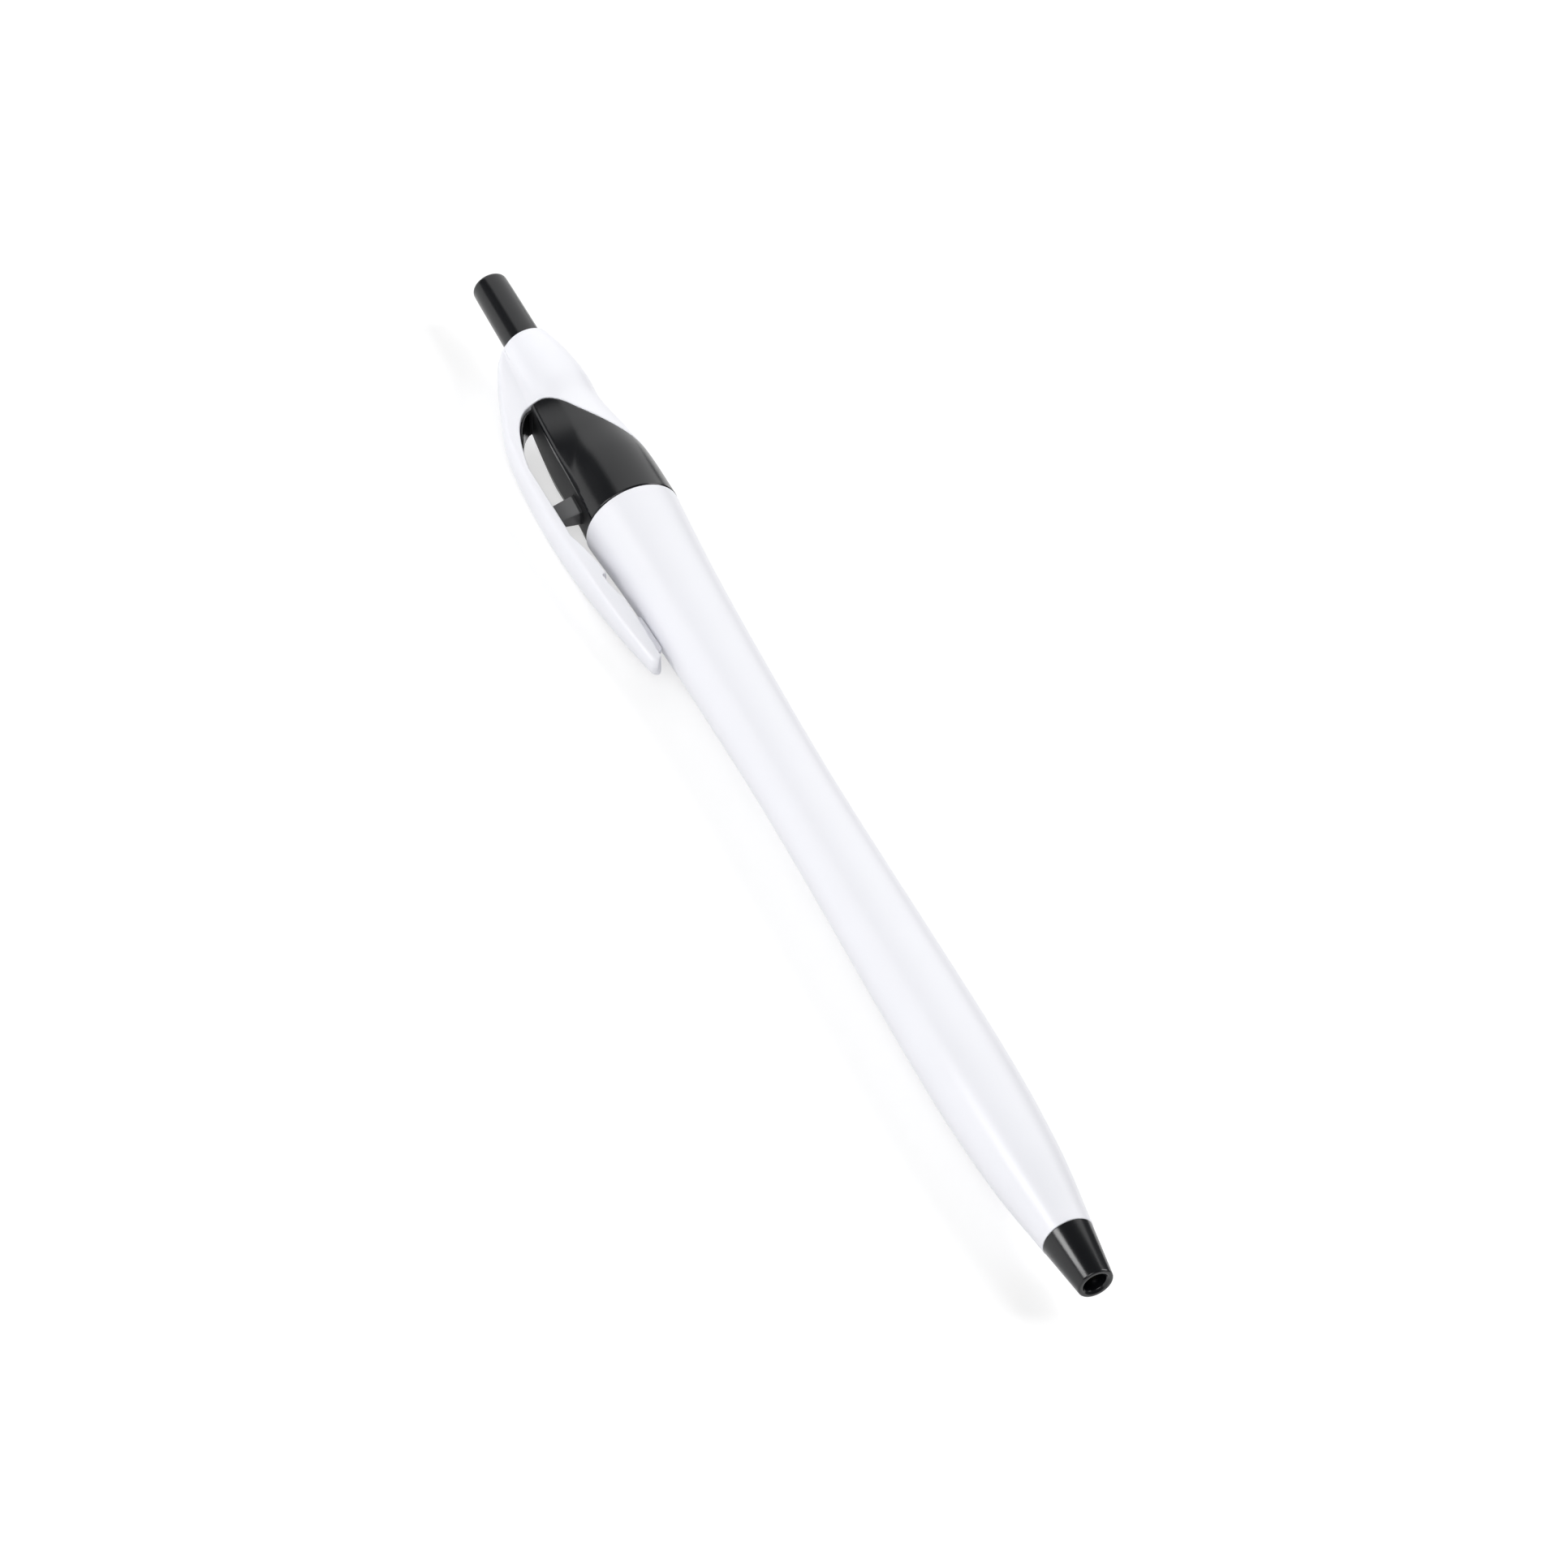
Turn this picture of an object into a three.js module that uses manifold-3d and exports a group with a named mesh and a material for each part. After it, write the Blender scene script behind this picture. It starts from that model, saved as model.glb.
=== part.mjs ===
// Slim retractable ballpoint pen: push button, cap with its clip, collar, barrel, nose cone,
// click mechanism, refill and return spring. Millimetres. Each piece is made along +X, from the
// button's end at x = 0 to the nose, with the clip towards +Z. The pen is laid on a table last.
import * as THREE from "three";
import { mergeVertices } from "three/addons/utils/BufferGeometryUtils.js";
import Module from "manifold-3d";

const wasm = await Module();
wasm.setup();

// Lengths of the visible pieces, one after the other
const buttonOut = 8.8;
const upperLength = 26.2;
const barrelLength = 99.5;
const noseLength = 5.9;

// Clearances
const slideGap = 0.11;
const fitGap = 0.05;
const toothGap = 0.05;
const ballGap = 0.02;

// Push button and the click mechanism
const buttonRadius = 1.98;
const buttonTipRadius = 1.88;
const buttonCrown = 0.12;
const buttonEdge = 0.62;
const buttonFlatRadius = 0.95;
const buttonWall = 0.78;
const buttonHollowFrom = 2.6;
const buttonInside = 3.2;
const ribDepth = 0.62;
const ribCount = 4;
const ribArc = 40;
const splineArc = 34;
const ribsFrom = 1.9;
const ribLength = 6.75;
const splineLength = 1.2;
const toothHeight = 0.8;
const rotorLength = 13.6;
const rotorSplineLength = 3.1;
const pilotRadius = 1.0;
const pilotLength = 2.6;
const refillSeatDepth = 2.6;

// Cap and collar: radii of the turned body, placed by their distance from the cap's rim
const rimWall = 0.36;
const rimEdge = 0.1;
const shoulderAt = 3.9;
const shoulderRadius = 3.34;
const capSwellAt = 7.7;
const capSwellRadius = 3.74;
const capWaistAt = 11.0;
const capWall = 0.53;
const flareAt = 16.2;
const flareRadius = 4.43;
const hipAt = 20.2;
const hipRadius = 4.96;
const collarRadius = 5.12;
const collarEdge = 0.16;
const sleeveWall = 0.42;
const sleeveFrom = 10.4;
const sleeveLength = 7.6;
const spigotStep = 1.45;
const spigotLength = 7.5;

// Flat of the collar under the clip
const windowFrom = 9.7;
const flatShoulderHeight = 3.08;
const flatTopHeight = 3.62;
const flatMidAt = 16.2;
const flatMidHeight = 4.12;
const flatHipHeight = 4.18;
const flatEndHeight = 4.4;
const flatShoulderHalfWidth = 1.4;
const flatTopHalfWidth = 2.25;
const flatMidHalfWidth = 3.05;
const flatHipHalfWidth = 2.85;
const flatEndHalfWidth = 2.6;
const flatRootHalfWidth = 0.7;

// Seam between cap and collar, seen from the side: straight down, round a corner, then a long slope
const seamCornerHeight = 2.9;
const seamCornerLength = 2.45;
const seamSlopeHeight = 0.5;
const seamTailFrom = 19.45;
const seamTailHeight = -4.6;

// Clip: the places of its bend, catch, foot and pad are counted back from its end
const clipOpening = 2.75;
const clipThickness = 1.18;
const clipCrown = 0.5;
const clipCrownFullness = 0.8;
const clipEdge = 0.14;
const clipRootHalfWidth = 1.65;
const clipHalfWidth = 2.15;
const clipFootHalfWidth = 1.75;
const clipRootRise = [
  [2.6, 4.15],
  [7.9, 6.18],
  [13.0, 7.65],
];
const clipTopAt = 21.4;
const clipBackAt = 29.6;
const clipBackDrop = 0.15;
const clipBendBack = 7.4;
const clipBendDrop = 0.95;
const clipEndDrop = 2.05;
const clipLength = 45.15;
const clipEndHalfWidth = 1.1;
const clipTipHalfWidth = 0.4;
const rootCurve = 7.6;
const rootSteepness = { lean: 0.05, rise: 0.52 };
const rootFlattening = { lean: 0.42, rise: 0.82 };
const catchStartBack = 15.5;
const catchBack = 12.3;
const catchRampBack = 18.2;
const catchRampBend = 2.85;
const catchRampDrop = 0.9;
const catchDepth = 1.21;
const catchNotch = 0.45;
const footStartBack = 8.9;
const footEndBack = 0.85;
const footRamp = 2.3;
const footGap = 0.95;
const footLift = 0.75;
const padWidth = 0.7;
const padStartBack = 6.9;
const padEndBack = 2.4;
const padGap = 0.08;
const liningReach = 0.8;
const liningThickness = 0.32;
const liningEndThickness = 0.06;
const liningHalfWidth = 1.7;
const keyFrom = 21.3;
const keyLength = 2.5;
const keyWidth = 1.0;
const keyGap = 0.2;

// Barrel: radii placed by their distance from the collar
const barrelTopRadius = 5.1;
const barrelTaperAt = 10.0;
const barrelTaperRadius = 4.46;
const barrelGripAt = 24.0;
const barrelGripRadius = 4.0;
const barrelWaistAt = 40.5;
const barrelWaistRadius = 3.77;
const barrelSwellAt = 77.0;
const barrelSwellRadius = 4.28;
const barrelShoulderAt = 90.0;
const barrelShoulderRadius = 3.8;
const barrelTipWall = 0.56;
const barrelEdge = 0.06;
const spigotRoom = 0.5;
const boreTaperLength = 2.8;
const boreTopRadius = 3.0;
const boreTipRadius = 2.45;

// Nose cone
const noseStep = 0.02;
const noseEndRadius = 1.84;
const noseEdge = 0.3;
const noseSpigotLength = 4.0;
const noseSpigotWall = 0.45;
const noseBoreTaper = 1.3;
const noseLand = 3.4;

// Refill
const tubeRadius = 1.5;
const tubeWall = 0.5;
const tipSetBack = 1.7;
const ballRadius = 0.5;
const pointConeLength = 3.5;
const pointTipRadius = 0.62;
const pointLip = 0.18;
const pointRadius = 1.04;
const pointLength = 12.4;
const pointInSocket = 3.0;
const socketRadius = 1.42;
const socketLength = 14.0;
const socketPlug = 4.0;
const flangeRadius = 1.88;
const flangeThickness = 1.2;
const feedRadius = 0.45;
const inkLength = 66;
const greaseLength = 4;

// Return spring
const wireRadius = 0.175;
const springCoils = 10;
const springSeatGap = 0.05;

// Faceting
const outerSides = 48;
const innerSides = 32;
const bodyStep = 1.1;
const arcSteps = 30;
const weld = 1e-4;

// Places along the pen that follow from the lengths
const rimX = buttonOut;
const collarEndX = rimX + upperLength;
const barrelEndX = collarEndX + barrelLength;
const noseEndX = barrelEndX + noseLength;
const rimBore = buttonRadius + slideGap;
const rimRadius = rimBore + rimWall;
const camBore = buttonRadius + ribDepth;
const splineRadius = camBore - slideGap;
const sleeveRadius = camBore + fitGap + sleeveWall;
const capWaistRadius = sleeveRadius + fitGap + capWall;
const spigotRadius = collarRadius - spigotStep;
const camFromX = rimX + ribsFrom;
const windowX = rimX + windowFrom;
const clipUnderHeight = flatEndHeight + clipOpening;
const clipTopHeight = clipUnderHeight + clipThickness;
const clipEndX = rimX + clipLength;
const noseBore = tubeRadius + slideGap;
const noseSpigotRadius = noseBore + noseSpigotWall;
const barrelTipBore = noseSpigotRadius + fitGap;
const barrelTipRadius = barrelTipBore + barrelTipWall;
const noseHoleRadius = pointRadius + slideGap;

// A smooth line through points [x, value], as a function of x: cubic pieces with shared slopes.
function smoothThrough(points) {
  const slopes = points.map((p, i) => {
    const before = points[Math.max(i - 1, 0)];
    const after = points[Math.min(i + 1, points.length - 1)];
    return (after[1] - before[1]) / (after[0] - before[0]);
  });
  return (x) => {
    let i = 0;
    while (i < points.length - 2 && x > points[i + 1][0]) i++;
    const span = points[i + 1][0] - points[i][0];
    const t = THREE.MathUtils.clamp((x - points[i][0]) / span, 0, 1);
    const rise = points[i + 1][1] - points[i][1];
    const bend = span * slopes[i] - rise;
    const bendBack = rise - span * slopes[i + 1];
    return points[i][1] + t * rise + t * (1 - t) * ((1 - t) * bend + t * bendBack);
  };
}

const upperRadius = smoothThrough([
  [rimX, rimRadius],
  [rimX + shoulderAt, shoulderRadius],
  [rimX + capSwellAt, capSwellRadius],
  [rimX + capWaistAt, capWaistRadius],
  [rimX + flareAt, flareRadius],
  [rimX + hipAt, hipRadius],
  [collarEndX, collarRadius],
]);

const flatHeight = smoothThrough([
  [rimX, rimRadius - rimEdge],
  [rimX + shoulderAt, flatShoulderHeight],
  [windowX, flatTopHeight],
  [rimX + flatMidAt, flatMidHeight],
  [rimX + hipAt, flatHipHeight],
  [collarEndX, flatEndHeight],
]);

const flatHalfWidth = smoothThrough([
  [rimX, flatRootHalfWidth],
  [rimX + shoulderAt, flatShoulderHalfWidth],
  [windowX, flatTopHalfWidth],
  [rimX + flatMidAt, flatMidHalfWidth],
  [rimX + hipAt, flatHipHalfWidth],
  [collarEndX, flatEndHalfWidth],
]);

const barrelRadius = smoothThrough([
  [collarEndX, barrelTopRadius],
  [collarEndX + barrelTaperAt, barrelTaperRadius],
  [collarEndX + barrelGripAt, barrelGripRadius],
  [collarEndX + barrelWaistAt, barrelWaistRadius],
  [collarEndX + barrelSwellAt, barrelSwellRadius],
  [collarEndX + barrelShoulderAt, barrelShoulderRadius],
  [barrelEndX, barrelTipRadius],
]);

const clipTop = smoothThrough([
  [rimX, rimRadius + fitGap],
  ...clipRootRise.map(([from, height]) => [rimX + from, height]),
  [rimX + clipTopAt, clipTopHeight],
  [rimX + clipBackAt, clipTopHeight - clipBackDrop],
  [clipEndX - clipBendBack, clipTopHeight - clipBendDrop],
  [clipEndX, clipTopHeight - clipEndDrop],
]);

const clipWidth = smoothThrough([
  [rimX, flatRootHalfWidth],
  [rimX + shoulderAt, clipRootHalfWidth],
  [windowX, clipHalfWidth],
  [clipEndX - catchStartBack, clipHalfWidth],
  [clipEndX - footStartBack, clipFootHalfWidth],
  [clipEndX - footEndBack, clipEndHalfWidth],
  [clipEndX, clipTipHalfWidth],
]);

// The closed solid of a geometry, with its faces turned outwards.
function solidOf(geometry) {
  const bare = geometry.clone();
  bare.deleteAttribute("normal");
  bare.deleteAttribute("uv");
  const merged = mergeVertices(bare, weld);
  const corners = merged.index.array;
  const kept = [];
  for (let i = 0; i < corners.length; i += 3) {
    const [a, b, c] = [corners[i], corners[i + 1], corners[i + 2]];
    if (a !== b && b !== c && c !== a) kept.push([a, b, c]);
  }
  const build = (faces) =>
    new wasm.Manifold(
      new wasm.Mesh({
        numProp: 3,
        vertProperties: new Float32Array(merged.attributes.position.array),
        triVerts: new Uint32Array(faces.flat()),
      }),
    );
  const made = build(kept);
  return made.volume() > 0 ? made : build(kept.map(([a, b, c]) => [a, c, b]));
}

// A solid of revolution about the pen's axis, from a closed profile of [x, radius].
function turned(profile, sides = outerSides) {
  const points = profile.map(([x, radius]) => new THREE.Vector2(radius, x));
  const onAxis = profile[0][1] === 0 && profile.at(-1)[1] === 0;
  if (!onAxis) points.push(points[0].clone());
  return solidOf(new THREE.LatheGeometry(points, sides).rotateZ(-Math.PI / 2));
}

// A skin over rings of equally many points; joined end to end when it goes round, else closed by fans.
function lofted(rings, goesRound = false) {
  const count = rings[0].length;
  const places = rings.flat();
  const faces = [];
  const spans = goesRound ? rings.length : rings.length - 1;
  for (let i = 0; i < spans; i++) {
    const next = (i + 1) % rings.length;
    for (let j = 0; j < count; j++) {
      const k = (j + 1) % count;
      const [a, b, c, d] = [i * count + j, i * count + k, next * count + j, next * count + k];
      faces.push(a, b, d, a, d, c);
    }
  }
  if (!goesRound) {
    [0, rings.length - 1].forEach((end) => {
      const middle = new THREE.Vector3();
      rings[end].forEach((p) => middle.addScaledVector(p, 1 / count));
      places.push(middle);
      for (let j = 0; j < count; j++) {
        const [a, b] = [end * count + j, end * count + ((j + 1) % count)];
        faces.push(places.length - 1, ...(end === 0 ? [b, a] : [a, b]));
      }
    });
  }
  return solidOf(new THREE.BufferGeometry().setFromPoints(places).setIndex(faces));
}

// A side view in x and z, extruded across the pen. Points that fall together are taken once.
function extruded(outline, width) {
  const points = outline.getPoints(8);
  const kept = points.filter((p, i) => p.distanceTo(points.at(i - 1)) > weld);
  const geometry = new THREE.ExtrudeGeometry(new THREE.Shape(kept), {
    depth: width,
    bevelEnabled: false,
  });
  return solidOf(geometry.rotateX(Math.PI / 2).translate(0, width / 2, 0));
}

// Stations from one x to another, about one step apart.
function stations(from, to, step = bodyStep) {
  const count = Math.ceil((to - from) / step);
  return Array.from({ length: count + 1 }, (_, i) => from + ((to - from) * i) / count);
}

// A point at an angle about the axis, counted from the clip's side.
function around(x, radius, degrees) {
  const angle = THREE.MathUtils.degToRad(degrees);
  return new THREE.Vector3(x, radius * Math.sin(angle), radius * Math.cos(angle));
}

// A rib or spline: a block between two radii, whose end towards the nose may slope across its width.
function ribBlock(inner, outer, centre, arc, fromAt, toAt, steps = 4) {
  const rings = [];
  for (let i = 0; i <= steps; i++) {
    const share = i / steps;
    const angle = centre + arc * (share - 0.5);
    rings.push([
      around(fromAt(share), inner, angle),
      around(fromAt(share), outer, angle),
      around(toAt(share), outer, angle),
      around(toAt(share), inner, angle),
    ]);
  }
  return lofted(rings);
}

// A ring of V teeth: toothed on the side that faces the nose when facing is 1, else on the other.
function toothRing(inner, outer, rootX, backX, shift) {
  const stepsPerTooth = innerSides / (2 * ribCount);
  const rings = [];
  for (let i = 0; i < innerSides; i++) {
    const phase = ((i + shift) % stepsPerTooth) / stepsPerTooth;
    const rise = toothHeight * (1 - Math.abs(2 * phase - 1));
    const angle = (360 * i) / innerSides;
    rings.push([
      around(backX, inner, angle),
      around(backX, outer, angle),
      around(rootX + rise, outer, angle),
      around(rootX + rise, inner, angle),
    ]);
  }
  return lofted(rings, true);
}

// One section of cap or collar: a circle with a flat towards the clip. Where the flat's edges
// stand out of the circle, tangents join them to it.
function bodySection(x, inset = 0) {
  const radius = upperRadius(x) - inset;
  const height = flatHeight(x) - inset;
  const chord = Math.sqrt(Math.max(radius ** 2 - height ** 2, 0));
  const edge = Math.max(flatHalfWidth(x) - inset, chord);
  const corner = Math.atan2(edge, height);
  const tangent = corner + Math.acos(Math.min(1, radius / Math.hypot(edge, height)));
  const ring = [new THREE.Vector3(x, edge, height)];
  const joint = new THREE.Vector3(x, radius * Math.sin(tangent), radius * Math.cos(tangent));
  ring.push(ring[0].clone().lerp(joint, 0.5));
  for (let i = 0; i <= arcSteps; i++) {
    const angle = tangent + ((2 * Math.PI - 2 * tangent) * i) / arcSteps;
    ring.push(new THREE.Vector3(x, radius * Math.sin(angle), radius * Math.cos(angle)));
  }
  const mirrored = (p) => new THREE.Vector3(p.x, -p.y, p.z);
  ring.push(mirrored(ring[1]), mirrored(ring[0]));
  return ring;
}

// The outline behind the seam between cap and collar; a shift towards the nose leaves the gap.
function behindSeam(shift) {
  const x = windowX + shift;
  const far = collarEndX + shift;
  const tailX = rimX + seamTailFrom + shift;
  const cornerX = x + seamCornerLength;
  const outline = new THREE.Shape();
  outline.moveTo(x, clipTopHeight);
  outline.lineTo(x, seamCornerHeight);
  outline.quadraticCurveTo(x, (seamCornerHeight + seamSlopeHeight) / 2, cornerX, seamSlopeHeight);
  const middleX = (cornerX + tailX) / 2;
  const middleHeight = seamSlopeHeight + (seamTailHeight - seamSlopeHeight) / 3;
  outline.quadraticCurveTo(middleX, middleHeight, tailX, seamTailHeight);
  outline.lineTo(tailX + collarEdge, -collarRadius - 1);
  outline.lineTo(far + 1, -collarRadius - 1);
  outline.lineTo(far + 1, clipTopHeight);
  outline.closePath();
  return extruded(outline, 4 * collarRadius);
}

// The curve on which the clip's root rises from the flat to its underside.
function clipRootCurve(shift) {
  const low = flatHeight(windowX);
  const high = clipUnderHeight;
  const at = (share) => low + (high - low) * share;
  return new THREE.CubicBezierCurve(
    new THREE.Vector2(windowX + shift, low),
    new THREE.Vector2(windowX + shift + rootCurve * rootSteepness.lean, at(rootSteepness.rise)),
    new THREE.Vector2(windowX + shift + rootCurve * rootFlattening.lean, at(rootFlattening.rise)),
    new THREE.Vector2(windowX + shift + rootCurve, high),
  );
}

// The space under the clip: root curve, underside, catch, foot along the barrel, lifted end.
function underClip() {
  const low = -collarRadius;
  const high = clipUnderHeight - clipBackDrop;
  const catchX = clipEndX - catchBack;
  const footX = clipEndX - footStartBack;
  const liftX = clipEndX - footEndBack;
  const soleX = (footX + liftX) / 2;
  const outline = new THREE.Shape();
  outline.moveTo(windowX, low);
  clipRootCurve(0)
    .getPoints(10)
    .forEach((p) => outline.lineTo(p.x, p.y));
  outline.lineTo(clipEndX - catchRampBack, high);
  outline.quadraticCurveTo(catchX - catchRampBend, high - catchRampDrop, catchX, high - catchDepth);
  outline.lineTo(catchX, high - catchDepth + catchNotch);
  outline.quadraticCurveTo(
    footX - footRamp / 2,
    clipUnderHeight - catchDepth,
    footX,
    barrelRadius(footX) + footGap,
  );
  outline.quadraticCurveTo(
    soleX,
    barrelRadius(soleX) + footGap - padGap,
    liftX,
    barrelRadius(liftX) + footGap,
  );
  outline.lineTo(clipEndX + clipEdge, barrelRadius(clipEndX) + footGap + footLift);
  outline.lineTo(clipEndX + 1, low);
  outline.closePath();
  return extruded(outline, 4 * clipHalfWidth);
}

// One section of the clip's blank: flat below, with a crowned back.
function clipSection(x) {
  const halfWidth = clipWidth(x);
  const top = clipTop(x);
  const crown = clipCrown * (halfWidth / clipHalfWidth);
  const bottom = Math.min(flatHeight(x) - rimWall, top - 2 * clipEdge - crown);
  const steps = 8;
  const ring = [new THREE.Vector3(x, halfWidth, bottom), new THREE.Vector3(x, -halfWidth, bottom)];
  for (let i = 0; i <= steps; i++) {
    const side = (2 * i) / steps - 1;
    const roundness = 1 - Math.sqrt(1 - clipCrownFullness * side ** 2);
    const drop = (crown * roundness) / (1 - Math.sqrt(1 - clipCrownFullness));
    ring.push(new THREE.Vector3(x, halfWidth * side, top - drop));
  }
  return ring;
}

// The rounded ridge under the clip's foot that grips the cloth against the barrel.
function clipPad() {
  const fromX = clipEndX - padStartBack;
  const toX = clipEndX - padEndBack;
  const outline = new THREE.Shape();
  const high = barrelRadius(fromX) + footGap + clipEdge;
  outline.moveTo(fromX - footGap, high);
  stations(fromX, toX, 1.3).forEach((x) => outline.lineTo(x, barrelRadius(x) + padGap));
  outline.lineTo(toX + footGap, high);
  outline.closePath();
  return extruded(outline, padWidth);
}

function makeClip() {
  const blank = lofted(stations(rimX, clipEndX).map((x) => clipSection(x)));
  return blank.subtract(underClip()).add(clipPad());
}

// The cap's outside, with its rim's edge broken.
function makeCapShell() {
  const tailEndX = rimX + seamTailFrom + 1;
  const rings = [
    bodySection(rimX, rimEdge),
    ...stations(rimX + rimEdge, tailEndX).map((x) => bodySection(x)),
  ];
  return lofted(rings).subtract(behindSeam(0));
}

// Ribs that guide the button and hold the rotor from turning; their ends slope to index it.
function guideRibs() {
  const endX = camFromX + ribLength;
  const ribs = [];
  for (let i = 0; i < ribCount; i++) {
    const centre = ((i + 0.5) * 360) / ribCount;
    const sloped = (share) => endX + toothHeight * share;
    ribs.push(ribBlock(rimBore, camBore + rimWall / 2, centre, ribArc, () => camFromX - fitGap, sloped));
  }
  return ribs;
}

function makeCap() {
  const sleeveX = rimX + sleeveFrom - fitGap;
  const farX = collarEndX;
  const bore = turned([
    [rimX - 1, 0],
    [rimX - 1, rimBore],
    [camFromX, rimBore],
    [camFromX, camBore],
    [sleeveX, camBore],
    [sleeveX, sleeveRadius + fitGap],
    [farX, sleeveRadius + fitGap],
    [farX, 0],
  ]);
  const shell = makeCapShell().add(makeClip().subtract(barrelSpace()));
  return guideRibs().reduce((cap, rib) => cap.add(rib), shell.subtract(bore));
}

// The room that barrel and collar take up, so that no part of the clip's blank reaches into it.
function barrelSpace() {
  const profile = stations(collarEndX, clipEndX + 1).map((x) => [x, barrelRadius(x) + padGap / 2]);
  return turned([[collarEndX, 0], ...profile, [clipEndX + 1, 0]]);
}

// The thin lip that rises from the flat and lines the inside of the clip's root, the round end of
// the window. It thins out along the root's curve.
function collarLining() {
  const base = flatHeight(windowX) - sleeveWall;
  const root = clipRootCurve(fitGap);
  const steps = 9;
  const outer = [];
  const inner = [];
  for (let i = 0; i <= steps; i++) {
    const share = (liningReach * i) / steps;
    const p = root.getPoint(share).sub(new THREE.Vector2(0, fitGap));
    const along = root.getTangent(share);
    const thickness = THREE.MathUtils.lerp(liningThickness, liningEndThickness, i / steps);
    outer.push(p);
    inner.unshift(new THREE.Vector2(p.x + along.y * thickness, p.y - along.x * thickness));
  }
  const outline = new THREE.Shape();
  outline.moveTo(windowX + fitGap, base);
  [...outer, ...inner].forEach((p) => outline.lineTo(p.x, p.y));
  outline.lineTo(inner.at(-1).x + liningThickness / 2, flatHeight(windowX));
  outline.lineTo(inner.at(-1).x + liningThickness / 2, base);
  outline.closePath();
  return extruded(outline, 2 * liningHalfWidth);
}

// The small key that stands on the flat, half way along the window.
function collarKey() {
  const fromX = rimX + keyFrom;
  const toX = fromX + keyLength;
  const top = clipUnderHeight - keyGap;
  const outline = new THREE.Shape();
  outline.moveTo(fromX, flatHeight(fromX) - sleeveWall);
  outline.lineTo(fromX + clipEdge, top);
  outline.lineTo(toX - clipEdge, top);
  outline.lineTo(toX, flatHeight(toX) - sleeveWall);
  outline.closePath();
  return extruded(outline, keyWidth);
}

function makeCollar() {
  const startX = windowX - bodyStep;
  const rings = [
    ...stations(startX, collarEndX - collarEdge).map((x) => bodySection(x)),
    bodySection(collarEndX, collarEdge),
  ];
  const outside = lofted(rings).intersect(behindSeam(fitGap));
  const sleeveX = rimX + sleeveFrom;
  const sleeve = turned([
    [sleeveX, 0],
    [sleeveX, sleeveRadius],
    [sleeveX + sleeveLength, sleeveRadius],
    [sleeveX + sleeveLength, 0],
  ]);
  const spigotEndX = collarEndX + spigotLength;
  const spigot = turned([
    [collarEndX - 1, 0],
    [collarEndX - 1, spigotRadius],
    [spigotEndX - collarEdge, spigotRadius],
    [spigotEndX, spigotRadius - collarEdge],
    [spigotEndX, 0],
  ]);
  const bore = turned([
    [startX, 0],
    [startX, camBore + fitGap],
    [spigotEndX + 1, camBore + fitGap],
    [spigotEndX + 1, 0],
  ]);
  return outside.add(sleeve).add(spigot).add(collarLining()).add(collarKey()).subtract(bore);
}

function makeBarrel() {
  const outside = stations(collarEndX, barrelEndX - barrelEdge, 4.2).map((x) => [x, barrelRadius(x)]);
  const mouthRadius = spigotRadius + fitGap;
  const mouthEndX = collarEndX + spigotLength + spigotRoom;
  const tipBoreX = barrelEndX - noseSpigotLength - spigotRoom;
  return turned([
    ...outside,
    [barrelEndX, barrelTipRadius - barrelEdge],
    [barrelEndX, barrelTipBore],
    [tipBoreX, barrelTipBore],
    [tipBoreX - 1, boreTipRadius],
    [mouthEndX + boreTaperLength, boreTopRadius],
    [mouthEndX, mouthRadius],
    [collarEndX, mouthRadius],
  ]);
}

function makeNoseCone() {
  const spigotX = barrelEndX - noseSpigotLength;
  const landX = noseEndX - noseLand;
  return turned([
    [spigotX, noseBore],
    [spigotX, noseSpigotRadius],
    [barrelEndX, noseSpigotRadius],
    [barrelEndX, barrelTipRadius - noseStep - noseEdge / 3],
    [barrelEndX + noseEdge / 3, barrelTipRadius - noseStep],
    [noseEndX - noseEdge, noseEndRadius],
    [noseEndX - noseEdge / 4, noseEndRadius - noseEdge / 3],
    [noseEndX, noseEndRadius - noseEdge],
    [noseEndX, noseHoleRadius],
    [landX, noseHoleRadius],
    [landX - noseBoreTaper, noseBore],
  ]);
}

function makeButton() {
  const endX = rimX + buttonInside;
  const hollowRadius = buttonRadius - buttonWall;
  const stem = turned(
    [
      [0, 0],
      [0, buttonFlatRadius],
      [buttonCrown, buttonTipRadius - buttonEdge / 2],
      [buttonCrown + buttonEdge / 4, buttonTipRadius - buttonEdge / 6],
      [buttonEdge + buttonCrown, buttonTipRadius],
      [rimX, buttonRadius],
      [endX - fitGap, buttonRadius],
      [endX - fitGap, hollowRadius],
      [buttonHollowFrom, hollowRadius],
      [buttonHollowFrom, 0],
    ],
    innerSides,
  );
  const crown = toothRing(hollowRadius, buttonRadius, endX, endX - 1, 0);
  const fromX = camFromX + fitGap;
  const splines = [];
  for (let i = 0; i < ribCount; i++) {
    const inner = buttonRadius - buttonWall / 2;
    const centre = (360 * i) / ribCount;
    splines.push(
      ribBlock(inner, splineRadius, centre, splineArc, () => fromX, () => fromX + splineLength),
    );
  }
  return splines.reduce((button, spline) => button.add(spline), stem.add(crown));
}

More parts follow.
